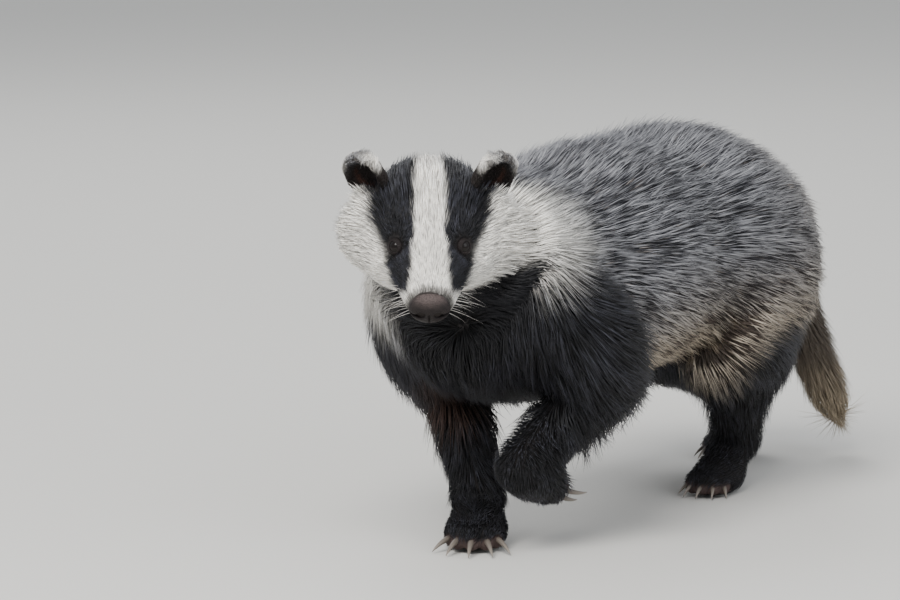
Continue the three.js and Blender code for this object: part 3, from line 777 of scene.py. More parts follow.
def toe_share(points):
    """1 on the bare tip of each toe."""
    bare = np.zeros(len(points))
    for limb in LIMBS.values():
        for fan, length in limb["toes"]:
            tip = toe_point(limb, fan, limb["toe_from"] + length + 2.0, 5.0)
            gap = np.linalg.norm(points - tip, axis=-1)
            bare = np.maximum(bare, 1.0 - smoothstep(gap, limb["toe_thick"], limb["toe_thick"] + 3.0))
    return bare


def bald_share(points):
    """0 where no hair grows, on the nose, eyes, soles and toe tips, and 1 elsewhere."""
    forward, _, _ = to_head(points)
    hair = np.ones(len(points))
    hair[(forward > -12.0) & (head_share(points) > 0.5)] = 0.0
    for side in (1, -1):
        away = np.linalg.norm(points - eye_centre(side), axis=-1)
        hair = hair * smoothstep(away, EYE_RADIUS + 2.2, EYE_RADIUS + 4.0)
    hair[points[:, 2] < 4.0] = 0.0
    return hair * (1.0 - toe_share(points))


def chart(points, quads):
    """A cylinder unwrap round each zone's own axis, for each corner of each quad."""
    zone = zones_of(points)
    forward, left, up = to_head(points)
    x, y, z = points.T
    angle = np.arctan2(z - 200.0, x)
    run = y.copy()
    of_head = np.isin(zone, [ZONE_NAMES.index(name) for name in HEAD_ZONES])
    angle[of_head] = np.arctan2(up[of_head], left[of_head])
    run[of_head] = forward[of_head]
    upright = np.isin(zone, [ZONE_NAMES.index(name) for name in UPRIGHT_ZONES])
    run[upright] = z[upright]
    centre_y = np.interp(y, (-150, -60, 60, 180, 220, 330), (-150, -150, 150, 150, 270, 320))
    angle[upright] = np.arctan2(y[upright] - centre_y[upright], x[upright])
    u = (angle / (2 * math.pi) + 1.0) % 1.0
    v = np.zeros(len(points))
    for number in range(len(ZONE_NAMES)):
        mine = zone == number
        if mine.any():
            low, high = run[mine].min(), run[mine].max()
            v[mine] = 0.02 + 0.95 * (run[mine] - low) / max(high - low, 1e-6)
    corner_u = u[quads]
    corner_u = corner_u - np.round(corner_u - corner_u[:, :1])
    return np.stack([corner_u, v[quads], np.zeros_like(corner_u)], -1).reshape(-1, 3)


def kept_inside(rise, ends, normals):
    """Lowers the hair tips that would pass the planned sides or top of the coat."""
    for axis, low, high in ((0, *COAT_SIDES), (2, -FAR, COAT_TOP)):
        slope = normals[:, axis]
        wall = np.where(slope > 0.0, high, low)
        steep = np.where(np.abs(slope) < 0.15, np.sign(slope) * 0.15 + 1e-9, slope)
        rise = np.minimum(rise, np.maximum((wall - ends[:, axis]) / steep / 1.1, -20.0))
    return rise


def rises(points, normals, lie, depth, length):
    """How far a tuft's middle and tip stand off the skin's own plane so that it follows the form."""
    middle = points + lie * length[:, None] * 0.45
    ends = points + lie * length[:, None]
    half = 0.66 * depth - np.clip(skin_field(middle), -5.0, 30.0)
    tip = depth - np.clip(skin_field(ends), -8.0, 60.0)
    return half, kept_inside(tip, ends, normals)


def tufts_per_area(points, quads, zone, weight):
    """Tufts on each square metre, so that each zone gets its own number of them."""
    a, b, c, d = (points[quads[:, i]] for i in range(4))
    area = np.linalg.norm(np.cross(c - a, d - b), axis=-1) / 2.0
    share = weight[quads].mean(-1) * area
    density = np.zeros(len(points))
    for number, name in enumerate(ZONE_NAMES):
        total = share[zone[quads[:, 0]] == number].sum()
        density[zone == number] = ZONES[name] / max(total, 1e-6) * 1e6
    return density * weight


def build_skin():
    """The skin, which also carries what the coat needs to know at each place."""
    points, quads = skin_surface()
    normals = normals_of(skin_field, points)
    mesh = new_mesh("badger_skin", points, quads)
    lie = coat_lie(points, normals)
    depth, length, width, crowd = coat_sizes(points)
    rise_half, rise_tip = rises(points, normals, lie, depth, length)
    zone = zones_of(points)
    for name, tone in zip(("tone_root", "tone_band", "tone_tip"), markings(points, normals)):
        store(mesh, name, "FLOAT_COLOR", np.concatenate([tone, np.ones((len(tone), 1))], -1))
    store(mesh, "lie", "FLOAT_VECTOR", lie)
    store(mesh, "hair_length", "FLOAT", length / 1000.0)
    store(mesh, "hair_width", "FLOAT", width / 1000.0)
    store(mesh, "sway", "FLOAT", 1.1 - 0.7 * head_share(points))
    store(mesh, "rise_half", "FLOAT", rise_half / 1000.0)
    store(mesh, "rise_tip", "FLOAT", rise_tip / 1000.0)
    store(mesh, "crowd", "FLOAT", tufts_per_area(points, quads, zone, crowd * bald_share(points)))
    store(mesh, "zone", "INT", zone[quads[:, 0]].astype(np.int32), "FACE")
    store(mesh, "chart", "FLOAT_VECTOR", chart(points, quads), "CORNER")
    return new_piece("badger_skin", mesh, skin_material())


# Node trees
class Tree:
    """Adds nodes to a node tree and wires them by the names of their sockets."""

    def __init__(self, tree):
        self.tree = tree

    def plug(self, socket, value):
        if isinstance(value, bpy.types.NodeSocket):
            self.tree.links.new(value, socket)
        else:
            socket.default_value = value

    def add(self, kind, settings=None, **inputs):
        """A node of this kind. The name of an input has _ for each space."""
        node = self.tree.nodes.new(kind)
        for name, value in (settings or {}).items():
            setattr(node, name, value)
        for name, value in inputs.items():
            wanted = name.replace("_", " ").lower()
            self.plug(next(s for s in node.inputs if s.name.lower() == wanted and s.enabled), value)
        return node

    def math(self, operation, *values):
        node = self.add("ShaderNodeMath", {"operation": operation})
        for socket, value in zip(node.inputs, values):
            self.plug(socket, value)
        return node.outputs[0]

    def vector(self, operation, *values, scale=None):
        node = self.add("ShaderNodeVectorMath", {"operation": operation})
        for socket, value in zip(node.inputs, values):
            self.plug(socket, value)
        if scale is not None:
            self.plug(node.inputs["Scale"], scale)
        return node.outputs[0]

    def noise(self, place, scale, detail=2.0, output="Fac"):
        return self.add("ShaderNodeTexNoise", Vector=place, Scale=scale, Detail=detail).outputs[output]

    def cells(self, place, scale):
        node = self.add("ShaderNodeTexVoronoi", {"feature": "F1"}, Vector=place, Scale=scale)
        return node.outputs["Distance"]

    def remap(self, value, low, high, to_low=0.0, to_high=1.0):
        return self.add("ShaderNodeMapRange", Value=value, From_Min=low, From_Max=high,
                        To_Min=to_low, To_Max=to_high).outputs["Result"]

    def mixed(self, share, first, second, kind="MIX"):
        node = self.add("ShaderNodeMix", {"data_type": "RGBA", "blend_type": kind})
        for number, value in ((0, share), (6, first), (7, second)):
            self.plug(node.inputs[number], (*value, 1.0) if isinstance(value, tuple) else value)
        return node.outputs[2]

    def read(self, name, output="Fac"):
        """A mesh attribute in a material."""
        return self.add("ShaderNodeAttribute", {"attribute_name": name}).outputs[output]

    def named(self, kind, name):
        """A mesh attribute in geometry nodes."""
        node = self.add("GeometryNodeInputNamedAttribute", {"data_type": kind}, Name=name)
        return next(o for o in node.outputs if o.enabled and o.name == "Attribute")

    def stored(self, geometry, kind, name, value, domain="POINT"):
        return self.add("GeometryNodeStoreNamedAttribute", {"data_type": kind, "domain": domain},
                        Geometry=geometry, Name=name, Value=value).outputs[0]

    def random(self, low, high, seed):
        node = self.add("FunctionNodeRandomValue", {"data_type": "FLOAT"}, Min=low, Max=high, Seed=seed)
        return next(o for o in node.outputs if o.enabled)


def new_material(name, roughness, sheen=0.5):
    """A material with its tree, its shader and the piece's own coordinates."""
    material = bpy.data.materials.new(name)
    material.use_nodes = True
    shader = material.node_tree.nodes["Principled BSDF"]
    shader.inputs["Roughness"].default_value = roughness
    shader.inputs["Specular IOR Level"].default_value = sheen
    tree = Tree(material.node_tree)
    return material, tree, shader, tree.add("ShaderNodeTexCoord").outputs["Object"]


def finish(tree, shader, colour, height=None, strength=0.0, distance=0.0):
    """Gives the shader its colour and, where a height is given, its bump."""
    tree.plug(shader.inputs["Base Color"], colour)
    if height is not None:
        bump = tree.add("ShaderNodeBump", Height=height, Strength=strength, Distance=distance)
        tree.plug(shader.inputs["Normal"], bump.outputs["Normal"])


def skin_material():
    """Hide and short underfur between the tufts, in the coat's own colours darkened as painted shade under
    the tufts, with random dark flecks.
    """
    material, tree, shader, place = new_material("badger_underfur", 0.75, 0.2)
    fleck = tree.noise(place, 420.0, 4.0)
    tone = tree.mixed(0.5, tree.read("tone_root", "Color"), tree.read("tone_band", "Color"))
    # Painted shade: the underfur's tone is pulled 45% towards near black, as the tufts over it would shade it
    dark = tree.mixed(0.45, tone, (0.02, 0.016, 0.014))
    colour = tree.mixed(tree.math("MULTIPLY", fleck, 0.5), dark, (0.01, 0.008, 0.008))
    finish(tree, shader, colour, fleck, 0.5, 0.001)
    return material


def coat_material():
    """Hair coloured from root to tip, paler or darker tuft by tuft and in wider drifts, with painted shade
    darkening each tuft towards its root.
    """
    material, tree, shader, place = new_material("badger_coat", 0.52, 0.32)
    along = tree.read("hair_along")
    chance = tree.read("hair_chance")
    drift = tree.noise(place, 55.0)
    shift = tree.math("MULTIPLY_ADD", chance, 0.24, -0.12)
    shift = tree.math("ADD", shift, tree.math("MULTIPLY_ADD", tree.read("hair_clump"), 1.1, -0.55))
    moved = tree.math("ADD", along, shift)
    root, band, tip = (tree.read(name, "Color") for name in ("tone_root", "tone_band", "tone_tip"))
    colour = tree.mixed(tree.remap(moved, 0.26, 0.44), root, band)
    colour = tree.mixed(tree.remap(moved, 0.66, 0.82), colour, tip)
    light = tree.math("MULTIPLY_ADD", chance, 0.5, 0.72)
    light = tree.math("MULTIPLY", light, tree.math("MULTIPLY_ADD", drift, 0.5, 0.75))
    # Painted shade: each tuft darkens to about a third of its colour at its root, where the hair over it
    # would shade it
    light = tree.math("MULTIPLY", light, tree.remap(along, 0.0, 0.5, 0.35, 1.0))
    lightness_and_root_shade = tree.add("ShaderNodeCombineColor", Red=light, Green=light, Blue=light).outputs["Color"]
    finish(tree, shader, tree.mixed(1.0, colour, lightness_and_root_shade, "MULTIPLY"))
    return material


# Tufts vary between these shares of the planned length, and each has this share of the unwrap
SHORTEST = 0.72
LONGEST = 1.12
PATCH_SIZE = 0.003
GUIDES = ("sway", "rise_half", "rise_tip", "crowd", "lie", "root_normal", "hair_length", "hair_width",
          "patch", "chart", "zone")


def tuft_template():
    """One tuft: a closed, three-sided blade of unit length, wide near its root and thin at its tip."""
    points = []
    for along, half, high in ((0.0, 0.42, 0.3), (0.45, 0.5, 0.36)):
        points += [(-half, along, 0.0), (half, along, 0.0), (0.0, along, high)]
    points.append((0.0, 1.0, 0.1))
    faces = [(2, 1, 0)]
    for nearer, further in ((0, 1), (1, 2), (2, 0)):
        faces.append((nearer, further, further + 3, nearer + 3))
        faces.append((nearer + 3, further + 3, 6))
    mesh = bpy.data.meshes.new("tuft")
    mesh.from_pydata(points, [], faces)
    mesh.shade_smooth()
    place = np.array(points)
    store(mesh, "hair_along", "FLOAT", place[:, 1])
    store(mesh, "patch", "FLOAT_VECTOR", place * (1.0, 1.0, 0.0) + (0.5, 0.0, 0.0))
    return bpy.data.objects.new("tuft", mesh)


def coat_inputs(group):
    """The tree's named inputs: which zone, the seed, and the sizes of the tufts."""
    face = group.interface
    face.new_socket("Geometry", in_out="INPUT", socket_type="NodeSocketGeometry")
    inputs = (
        ("Zone", "NodeSocketInt", 0), ("Seed", "NodeSocketInt", SEED),
        ("Thickness", "NodeSocketFloat", 1.0), ("Shortest", "NodeSocketFloat", SHORTEST),
        ("Longest", "NodeSocketFloat", LONGEST), ("Patch Size", "NodeSocketFloat", PATCH_SIZE),
    )
    for name, kind, value in inputs:
        face.new_socket(name, in_out="INPUT", socket_type=kind).default_value = value
    face.new_socket("Geometry", in_out="OUTPUT", socket_type="NodeSocketGeometry")


def tuft_roots(tree, given):
    """Points on the zone, each with its skin's normal and its own chances."""
    mine = tree.add("FunctionNodeCompare", {"data_type": "INT", "operation": "EQUAL"})
    tree.plug(mine.inputs[2], tree.named("INT", "zone"))
    tree.plug(mine.inputs[3], given.outputs["Zone"])
    spread = tree.add(
        "GeometryNodeDistributePointsOnFaces", {"distribute_method": "RANDOM"},
        Mesh=given.outputs["Geometry"], Selection=mine.outputs[0],
        Density=tree.named("FLOAT", "crowd"), Seed=given.outputs["Seed"],
    )
    place = tree.add("GeometryNodeInputPosition").outputs[0]
    roots = tree.stored(spread.outputs["Points"], "FLOAT_VECTOR", "root_normal", spread.outputs["Normal"])
    roots = tree.stored(roots, "FLOAT", "hair_chance", tree.random(0.0, 1.0, 11))
    return tree.stored(roots, "FLOAT", "hair_clump", tree.noise(place, 120.0, 1.0))


def tuft_way(tree):
    """The lie of the hair, swayed in clumps and again hair by hair."""
    place = tree.add("GeometryNodeInputPosition").outputs[0]
    clump = tree.vector("SUBTRACT", tree.noise(place, 75.0, 1.0, "Color"), (0.5, 0.5, 0.5))
    fine = tree.vector("SUBTRACT", tree.noise(place, 260.0, 0.0, "Color"), (0.5, 0.5, 0.5))
    sway = tree.vector("SCALE", clump, scale=tree.named("FLOAT", "sway"))
    stray = tree.vector("SCALE", fine, scale=0.5)
    return tree.vector("ADD", tree.named("FLOAT_VECTOR", "lie"), tree.vector("ADD", sway, stray))


def tuft_rise(tree):
    """Rise over the skin: a curve through the root, the middle and the tip, raised a little by chance."""
    along, half, tip, chance = (
        tree.named("FLOAT", name) for name in ("hair_along", "rise_half", "rise_tip", "hair_chance"))
    stray = tree.math("MULTIPLY", tree.math("POWER", chance, 9.0), 0.22)
    ragged = tree.math("ADD", tree.math("MULTIPLY_ADD", chance, 0.34, 0.72), stray)
    slope = tree.math("SUBTRACT", tree.math("MULTIPLY", half, 4.0), tip)
    curl = tree.math("SUBTRACT", tree.math("MULTIPLY", tip, 2.0), tree.math("MULTIPLY", half, 4.0))
    rise = tree.math("MULTIPLY", tree.math("MULTIPLY_ADD", curl, along, slope), along)
    return tree.math("MULTIPLY", rise, ragged)


def coat_tree(template, material):
    """Grows tufts on the skin's zone and bends them over the form."""
    group = bpy.data.node_groups.new("grow_coat", "GeometryNodeTree")
    coat_inputs(group)
    tree = Tree(group)
    given = group.nodes.new("NodeGroupInput")
    result = group.nodes.new("NodeGroupOutput")
    axes = tree.add(
        "FunctionNodeAxesToRotation", {"primary_axis": "Z", "secondary_axis": "Y"},
        Primary_Axis=tree.named("FLOAT_VECTOR", "root_normal"), Secondary_Axis=tuft_way(tree),
    ).outputs[0]
    vary = tree.random(given.outputs["Shortest"], given.outputs["Longest"], 5)
    length = tree.math("MULTIPLY", tree.named("FLOAT", "hair_length"), vary)
    width = tree.math("MULTIPLY", tree.named("FLOAT", "hair_width"), given.outputs["Thickness"])
    size = tree.add("ShaderNodeCombineXYZ", X=width, Y=length, Z=width).outputs[0]
    source = tree.add("GeometryNodeObjectInfo")
    source.inputs["Object"].default_value = template
    grown = tree.add(
        "GeometryNodeInstanceOnPoints", Points=tuft_roots(tree, given), Instance=source.outputs["Geometry"],
        Rotation=axes, Scale=size,
    ).outputs[0]
    real = tree.add("GeometryNodeRealizeInstances", Geometry=grown).outputs[0]
    lift = tree.vector("SCALE", tree.named("FLOAT_VECTOR", "root_normal"), scale=tuft_rise(tree))
    bent = tree.add("GeometryNodeSetPosition", Geometry=real, Offset=lift).outputs[0]
    place = tree.add("GeometryNodeInputPosition").outputs[0]
    held = tree.vector("MINIMUM", tree.vector("MAXIMUM", place, HAIR_LOW), HAIR_HIGH)
    bent = tree.add("GeometryNodeSetPosition", Geometry=bent, Position=held).outputs[0]

    # Each tuft is a small patch at its root's place on the skin's unwrap
    patch = tree.vector("SCALE", tree.named("FLOAT_VECTOR", "patch"), scale=given.outputs["Patch Size"])
    spot = tree.vector("FRACTION", tree.named("FLOAT_VECTOR", "chart"))
    spot = tree.vector("ADD", tree.vector("SCALE", spot, scale=0.99), patch)
    mapped = tree.stored(bent, "FLOAT2", "OFBake", spot, "CORNER")
    dressed = tree.add("GeometryNodeSetMaterial", Geometry=mapped)
    dressed.inputs["Material"].default_value = material
    tree.plug(result.inputs[0], dressed.outputs[0])
    return group


def drop_guides(mesh):
    """Removes what only the growing of the coat needed."""
    for name in GUIDES:
        if name in mesh.attributes:
            mesh.attributes.remove(mesh.attributes[name])


def grow_coat(skin):
    """One coat piece for each zone of the skin."""
    template = tuft_template()
    tree = coat_tree(template, coat_material())
    sockets = {item.name: item.identifier for item in tree.interface.items_tree if item.in_out == "INPUT"}
    carrier = new_piece("coat_carrier", skin.data.copy())
    modifier = carrier.modifiers.new("grow", "NODES")
    modifier.node_group = tree
    pieces = []
    for number, name in enumerate(ZONE_NAMES):
        modifier[sockets["Zone"]] = number
        modifier[sockets["Seed"]] = SEED + number
        modifier[sockets["Thickness"]] = 1.0
        modifier[sockets["Shortest"]] = SHORTEST
        modifier[sockets["Longest"]] = LONGEST
        modifier[sockets["Patch Size"]] = PATCH_SIZE
        carrier.update_tag()
        bpy.context.view_layer.update()
        evaluated = carrier.evaluated_get(bpy.context.evaluated_depsgraph_get())
        mesh = bpy.data.meshes.new_from_object(evaluated)
        mesh.name = name
        drop_guides(mesh)
        pieces.append(new_piece(name, mesh))
    drop_guides(skin.data)
    bpy.data.objects.remove(carrier)
    bpy.data.objects.remove(template)
    return pieces


# Eyes, lids, nose, claws and whiskers
def eye_material():
    material, tree, shader, place = new_material("badger_eye", 0.08, 0.24)
    finish(tree, shader, tree.mixed(tree.noise(place, 900.0), (0.003, 0.002, 0.002), (0.008, 0.005, 0.004)))
    return material


def ball_mesh(name, centre, radius, sides=32, rings=20):
    form = bmesh.new()
    bmesh.ops.create_uvsphere(form, u_segments=sides, v_segments=rings, radius=radius / 1000.0)
    bmesh.ops.translate(form, verts=form.verts, vec=Vector(to_metres(centre)))
    mesh = bpy.data.meshes.new(name)
    form.to_mesh(mesh)
    form.free()
    mesh.shade_smooth()
    return mesh


def lid_material():
    """Dark bare skin with fine cells, mottled at random, with painted shade in the grooves between the cells.
    """
    material, tree, shader, place = new_material("badger_lids", 0.5, 0.12)
    skin, mottle_and_groove_shade = (0.028, 0.022, 0.022), (0.010, 0.008, 0.008)
    cells = tree.cells(place, 1500.0)
    colour = tree.mixed(tree.noise(place, 180.0, 3.0), skin, mottle_and_groove_shade)
    # Painted shade: darker in the grooves between the cells, where the bump sinks
    colour = tree.mixed(tree.math("MULTIPLY", cells, 0.8), colour, mottle_and_groove_shade)
    finish(tree, shader, colour, tree.math("SUBTRACT", 1.0, cells), 0.7, 0.0006)
    return material


def nose_material():
    """Pebbled leather, paler and pinker on top, with painted shade darkening its lower part round the
    nostrils and the grooves between the pebbles.
    """
    material, tree, shader, place = new_material("badger_nose", 0.55, 0.18)
    cells = tree.cells(place, 1000.0)
    blotch = tree.math("MULTIPLY_ADD", tree.noise(place, 260.0, 3.0), 0.6, -0.3)
    # Painted shade: the lower part of the pad is darkened towards black, while its top keeps a paler, pinker
    # tone
    height = tree.math("ADD", tree.read("nose_shade_by_height"), blotch)
    colour = tree.mixed(height, (0.012, 0.009, 0.009), (0.105, 0.080, 0.075))
    # Painted shade: darker in the grooves between the pebbles, where the bump sinks
    colour = tree.mixed(tree.math("MULTIPLY", cells, 0.7), colour, (0.02, 0.016, 0.016))
    finish(tree, shader, colour, tree.math("SUBTRACT", 1.0, cells), 0.6, 0.0007)
    return material


# The lids' section, outwards from the opening: how many times the opening's size, and how far from the
# eye's centre
LID_SECTION = (
    (0.97, 6.1), (1.0, 6.45), (1.08, 6.85), (1.2, 6.95), (1.34, 6.75), (1.5, 7.0), (1.7, 6.9), (1.9, 6.5),
    (2.2, 5.6),
)
OPENING_LONG = 4.9
OPENING_HIGH = 3.5
LID_STATIONS = 40


def lid_mesh(side):
    """A rounded rim of lids round the almond opening, with a fold outside it."""
    centre = eye_centre(side)
    gaze = gaze_of(side)
    long_way = unit(HEAD_FORWARD - gaze * (HEAD_FORWARD @ gaze))
    high_way = np.cross(gaze, long_way) * side
    points, faces = [], []
    for i in range(LID_STATIONS):
        turn = 2 * math.pi * i / LID_STATIONS
        wide = OPENING_LONG * math.cos(turn)
        high = OPENING_HIGH * math.sin(turn) * (1 - 0.25 * math.cos(turn) ** 2)
        for spread, radius in LID_SECTION:
            x, y = wide * spread, high * (1 + (spread - 1) * 1.35)
            angle = math.hypot(x, y) / EYE_RADIUS
            flat = (x * long_way + y * high_way) / max(math.hypot(x, y), 1e-6)
            points.append(centre + (gaze * math.cos(angle) + flat * math.sin(angle)) * radius)
    rows = len(LID_SECTION)
    for i in range(LID_STATIONS):
        for j in range(rows - 1):
            a, b = i * rows + j, ((i + 1) % LID_STATIONS) * rows + j
            faces.append((a, b, b + 1, a + 1))
    return points, faces


def face_outwards(mesh):
    form = bmesh.new()
    form.from_mesh(mesh)
    bmesh.ops.recalc_face_normals(form, faces=form.faces)
    form.to_mesh(mesh)
    form.free()


LID_THICKNESS = 0.0006


def closed_shell(piece, thickness):
    """Gives an open sheet a wall, in metres, as plain mesh."""
    wall = piece.modifiers.new("wall", "SOLIDIFY")
    wall.thickness = thickness
    wall.offset = -1.0
    bpy.context.view_layer.update()
    evaluated = piece.evaluated_get(bpy.context.evaluated_depsgraph_get())
    mesh = bpy.data.meshes.new_from_object(evaluated)
    piece.modifiers.clear()
    piece.data = mesh


def build_eyes():
    wet, bare = eye_material(), lid_material()
    for name, side in (("left", 1), ("right", -1)):
        eye = new_piece("eyeball_" + name, ball_mesh("eyeball_" + name, eye_centre(side), EYE_RADIUS), wet)
        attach(eye, "root")
        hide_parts("eye_" + name)
        lid = new_piece("lids_" + name, new_mesh("lids_" + name, *lid_mesh(side)), bare)
        face_outwards(lid.data)
        closed_shell(lid, LID_THICKNESS)
        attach(lid, "root")


# The nose pad, its nostrils and the slits beside them: centres in head places and half sizes, both in
# the order left, up, forward
PAD_CENTRE = (0.0, -1.5, -7.5)
PAD_HALF = (15.5, 12.5, 9.0)
PAD_BACK = -14.0
NOSTRIL_CENTRE = (6.6, -2.6, -1.0)
NOSTRIL_HALF = (3.7, 3.0, 6.0)
SLIT_CENTRE = (11.0, -4.0, -4.0)
SLIT_HALF = (4.0, 1.3, 6.5)
NOSE_STEP = 0.8


def nose_values(points):
    """Distances to the nose pad, with a groove in its middle and the nostrils cut in."""
    forward, left, up = to_head(points)
    pad = oval(left, up - PAD_CENTRE[1], forward - PAD_CENTRE[2], PAD_HALF)
    groove = np.maximum(np.abs(left) - 0.6, np.abs(up + 8.0) - 7.0)
    groove = np.maximum(groove, -(forward + 2.6))
    solid = np.maximum(pad, -groove)
    for side in (1, -1):
        out = left * side
        beside = out - NOSTRIL_CENTRE[0]
        hole = oval(beside, up - NOSTRIL_CENTRE[1] + 0.3 * beside, forward - NOSTRIL_CENTRE[2], NOSTRIL_HALF)
        slit = oval(out - SLIT_CENTRE[0], up - SLIT_CENTRE[1], forward - SLIT_CENTRE[2], SLIT_HALF)
        solid = -soft_union(-solid, np.minimum(hole, slit), 1.2)
    return np.maximum(solid, PAD_BACK - forward)


def build_nose():
    axes = [np.arange(c - 22, c + 22, NOSE_STEP) for c in head(-6, 0, 2)]
    points, quads = surface_net(*axes, nose_values(np.stack(np.meshgrid(*axes, indexing="ij"), -1)))
    mesh = new_mesh("nose_pad", points, quads)
    # Share up the pad, from the painted shade of its lower part to its paler top
    store(mesh, "nose_shade_by_height", "FLOAT", smoothstep(to_head(points)[2], 3.0, 11.5))
    nose = new_piece("nose_pad", mesh, nose_material())
    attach(nose, "root")
    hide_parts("nose")


def tapered_tube(line, radii, sides):
    """Points and faces of a closed tube along a line, with its own radius at each station."""
    line = np.asarray(line)
    tangents = unit(np.gradient(line, axis=0))
    side = unit(np.cross(tangents, UP + 0.01))
    over = np.cross(side, tangents)
    points, faces = [], []
    for station, across, top, radius in zip(line, side, over, radii):
        for i in range(sides):
            turn = 2 * math.pi * i / sides
            points.append(station + radius * (math.cos(turn) * across + math.sin(turn) * top))
    for ring in range(len(line) - 1):
        for i in range(sides):
            a, b = ring * sides + i, ring * sides + (i + 1) % sides
            faces.append((a, a + sides, b + sides, b))
    faces.append(tuple(range(sides)))
    faces.append(tuple(range(len(points) - 1, len(points) - 1 - sides, -1)))
    return points, faces


def joined(name, parts, material):
    """One piece from many sets of points and faces."""
    points, faces = [], []
    for more_points, more_faces in parts:
        base = len(points)
        points += list(more_points)
        faces += [tuple(base + i for i in face) for face in more_faces]
    mesh = bpy.data.meshes.new(name)
    mesh.from_pydata(to_metres(np.array(points)).tolist(), [], faces)
    face_outwards(mesh)
    mesh.shade_smooth()
    return new_piece(name, mesh, material)


def claw_material():
    material, tree, shader, place = new_material("badger_claw", 0.42)
    grain = tree.noise(place, 300.0, 3.0)
    colour = tree.mixed(grain, (0.05, 0.040, 0.034), (0.11, 0.088, 0.072))
    worn = tree.math("MULTIPLY", tree.read("claw_along"), 0.75)
    finish(tree, shader, tree.mixed(worn, colour, (0.26, 0.23, 0.195)), grain, 0.3, 0.0004)
    return material


CLAW_RINGS = 12
CLAW_SIDES = 12


def claw_tube(limb, fan, toe):
    """A claw that leaves the toe level and curves down to its point."""
    length, radius = limb["claw"]
    reach = limb["toe_from"] + toe + limb["toe_thick"] * 0.35 - 3.0
    root = toe_point(limb, fan, reach, 9.8)
    bend = toe_point(limb, fan, reach + length * 0.6, 9.6)
    point = toe_point(limb, fan, reach + length + 2.0, 1.6)
    t = np.linspace(0.0, 1.0, CLAW_RINGS)[:, None]
    line = (1 - t) ** 2 * root + 2 * t * (1 - t) * bend + t * t * point
    radii = 0.82 * radius * np.maximum(1.0 - t[:, 0], 0.02) ** 0.62
    return tapered_tube(line, radii, CLAW_SIDES)


def build_claws():
    horn = claw_material()
    for limb_name, limb in LIMBS.items():
        parts = [claw_tube(limb, fan, toe) for fan, toe in limb["toes"]]
        claws = joined("claws_" + limb_name, parts, horn)
        along = np.tile(np.repeat(np.linspace(0, 1, CLAW_RINGS), CLAW_SIDES), len(parts))
        store(claws.data, "claw_along", "FLOAT", along)
        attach(claws, "root")
        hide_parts(*[f"claw_{limb_name}_{i}" for i in range(1, 6)])


def whisker_material():
    material, tree, shader, place = new_material("badger_whisker", 0.35)
    finish(tree, shader, tree.mixed(tree.noise(place, 60.0), (0.45, 0.42, 0.38), (0.85, 0.83, 0.80)))
    return material


def whisker_tube(side, row, column, draw):
    """A thin hair from the side of the muzzle that droops towards its tip."""
    root = head(-14 - 5.5 * column, (13.0 + 1.2 * column) * side, -1.5 - 3.4 * row)
    out = unit(
        side * HEAD_LEFT * draw.uniform(0.8, 1.0)
        - HEAD_UP * (0.1 + 0.16 * row + draw.uniform(-0.1, 0.1))
        + HEAD_FORWARD * draw.uniform(-0.55, 0.1)
    )
    length = draw.uniform(14.0, 34.0)
    t = np.linspace(0.0, 1.0, 7)[:, None]
    line = root + out * length * t - (UP * 0.22 + HEAD_FORWARD * 0.12) * length * t * t
    return tapered_tube(line, 0.17 * np.maximum(1.0 - t[:, 0], 0.08), 4)


def build_whiskers():
    draw = np.random.default_rng(SEED)
    places = [(side, row, column) for side in (1, -1) for row in range(4) for column in range(5)]
    parts = [whisker_tube(*place, draw) for place in places]
    whiskers = joined("whiskers", parts, whisker_material())
    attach(whiskers, "root")


# Floor, light and camera
FLOOR_HALF = 60.0


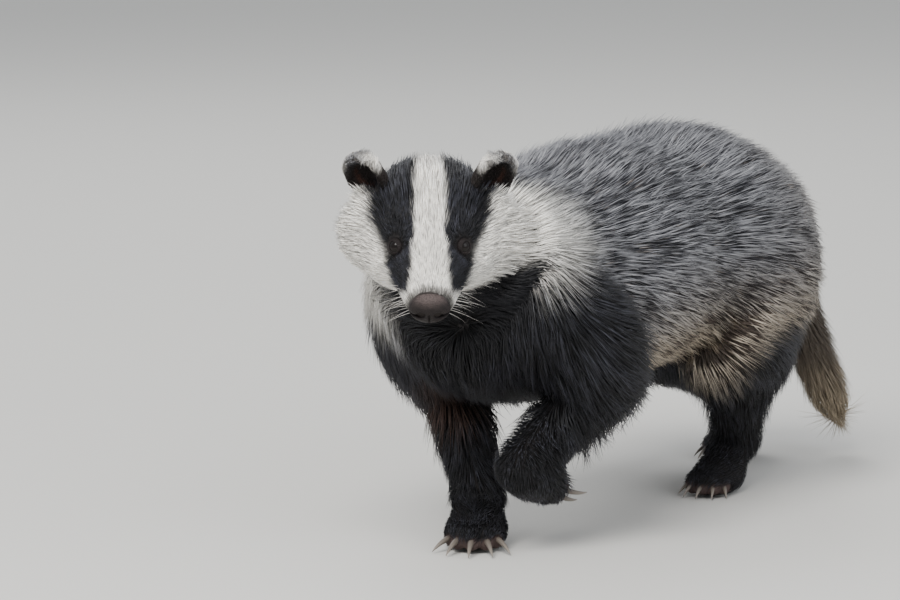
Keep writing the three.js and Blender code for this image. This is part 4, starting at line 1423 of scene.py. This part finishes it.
def build_floor():
    corners = [(x * FLOOR_HALF, y * FLOOR_HALF, 0) for x, y in ((-1, -1), (1, -1), (1, 1), (-1, 1))]
    mesh = bpy.data.meshes.new("floor")
    mesh.from_pydata(corners, [], [(0, 1, 2, 3)])
    material = bpy.data.materials.new("pale_floor")
    material.use_nodes = True
    shader = material.node_tree.nodes["Principled BSDF"]
    shader.inputs["Roughness"].default_value = 0.85
    shader.inputs["Base Color"].default_value = (0.62, 0.61, 0.58, 1.0)
    new_piece("floor", mesh, material)


def add_area(name, place, aim, size, power, colour=(1.0, 1.0, 1.0)):
    data = bpy.data.lights.new(name, "AREA")
    data.size = size
    data.energy = power
    data.color = colour
    lamp = bpy.data.objects.new(name, data)
    lamp.location = place
    lamp.rotation_euler = (Vector(aim) - Vector(place)).to_track_quat("-Z", "Y").to_euler()
    bpy.context.scene.collection.objects.link(lamp)


def build_light():
    centre = (0.0, 0.0, 0.2)
    add_area("key", (0.4, -2.2, 2.6), centre, 1.8, 134.0, (1.0, 0.98, 0.95))
    add_area("fill", (2.6, -0.4, 1.6), centre, 2.2, 30.0, (0.95, 0.97, 1.0))
    add_area("rim", (-1.8, 1.8, 2.4), centre, 1.6, 40.0)
    world = bpy.data.worlds.new("studio")
    world.use_nodes = True
    world.node_tree.nodes["Background"].inputs["Color"].default_value = (0.85, 0.88, 0.92, 1.0)
    world.node_tree.nodes["Background"].inputs["Strength"].default_value = 0.8
    bpy.context.scene.world = world


def build_camera():
    data = bpy.data.cameras.new("camera")
    data.lens = LENS_MM
    data.sensor_width = SENSOR_MM
    camera = bpy.data.objects.new("camera", data)
    back = Vector((
        math.sin(CAMERA_TURN) * math.cos(CAMERA_RISE),
        -math.cos(CAMERA_TURN) * math.cos(CAMERA_RISE),
        math.sin(CAMERA_RISE),
    ))
    camera.location = CAMERA_AIM + back * CAMERA_DISTANCE
    camera.rotation_euler = (-back).to_track_quat("-Z", "Y").to_euler()
    bpy.context.scene.collection.objects.link(camera)
    bpy.context.scene.camera = camera


# The scene, piece by piece
build_camera()
build_floor()
build_light()

skin = build_skin()
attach(skin, "root")
FLESH = ["head", "lower_jaw", "ear_left", "ear_right", "neck", "torso", "tail"]
FLESH += [part + limb for limb in LIMBS for part in ("leg_", "paw_")]
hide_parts(*FLESH)

for piece in grow_coat(skin):
    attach(piece, "root")

build_eyes()
build_nose()
build_claws()
build_whiskers()
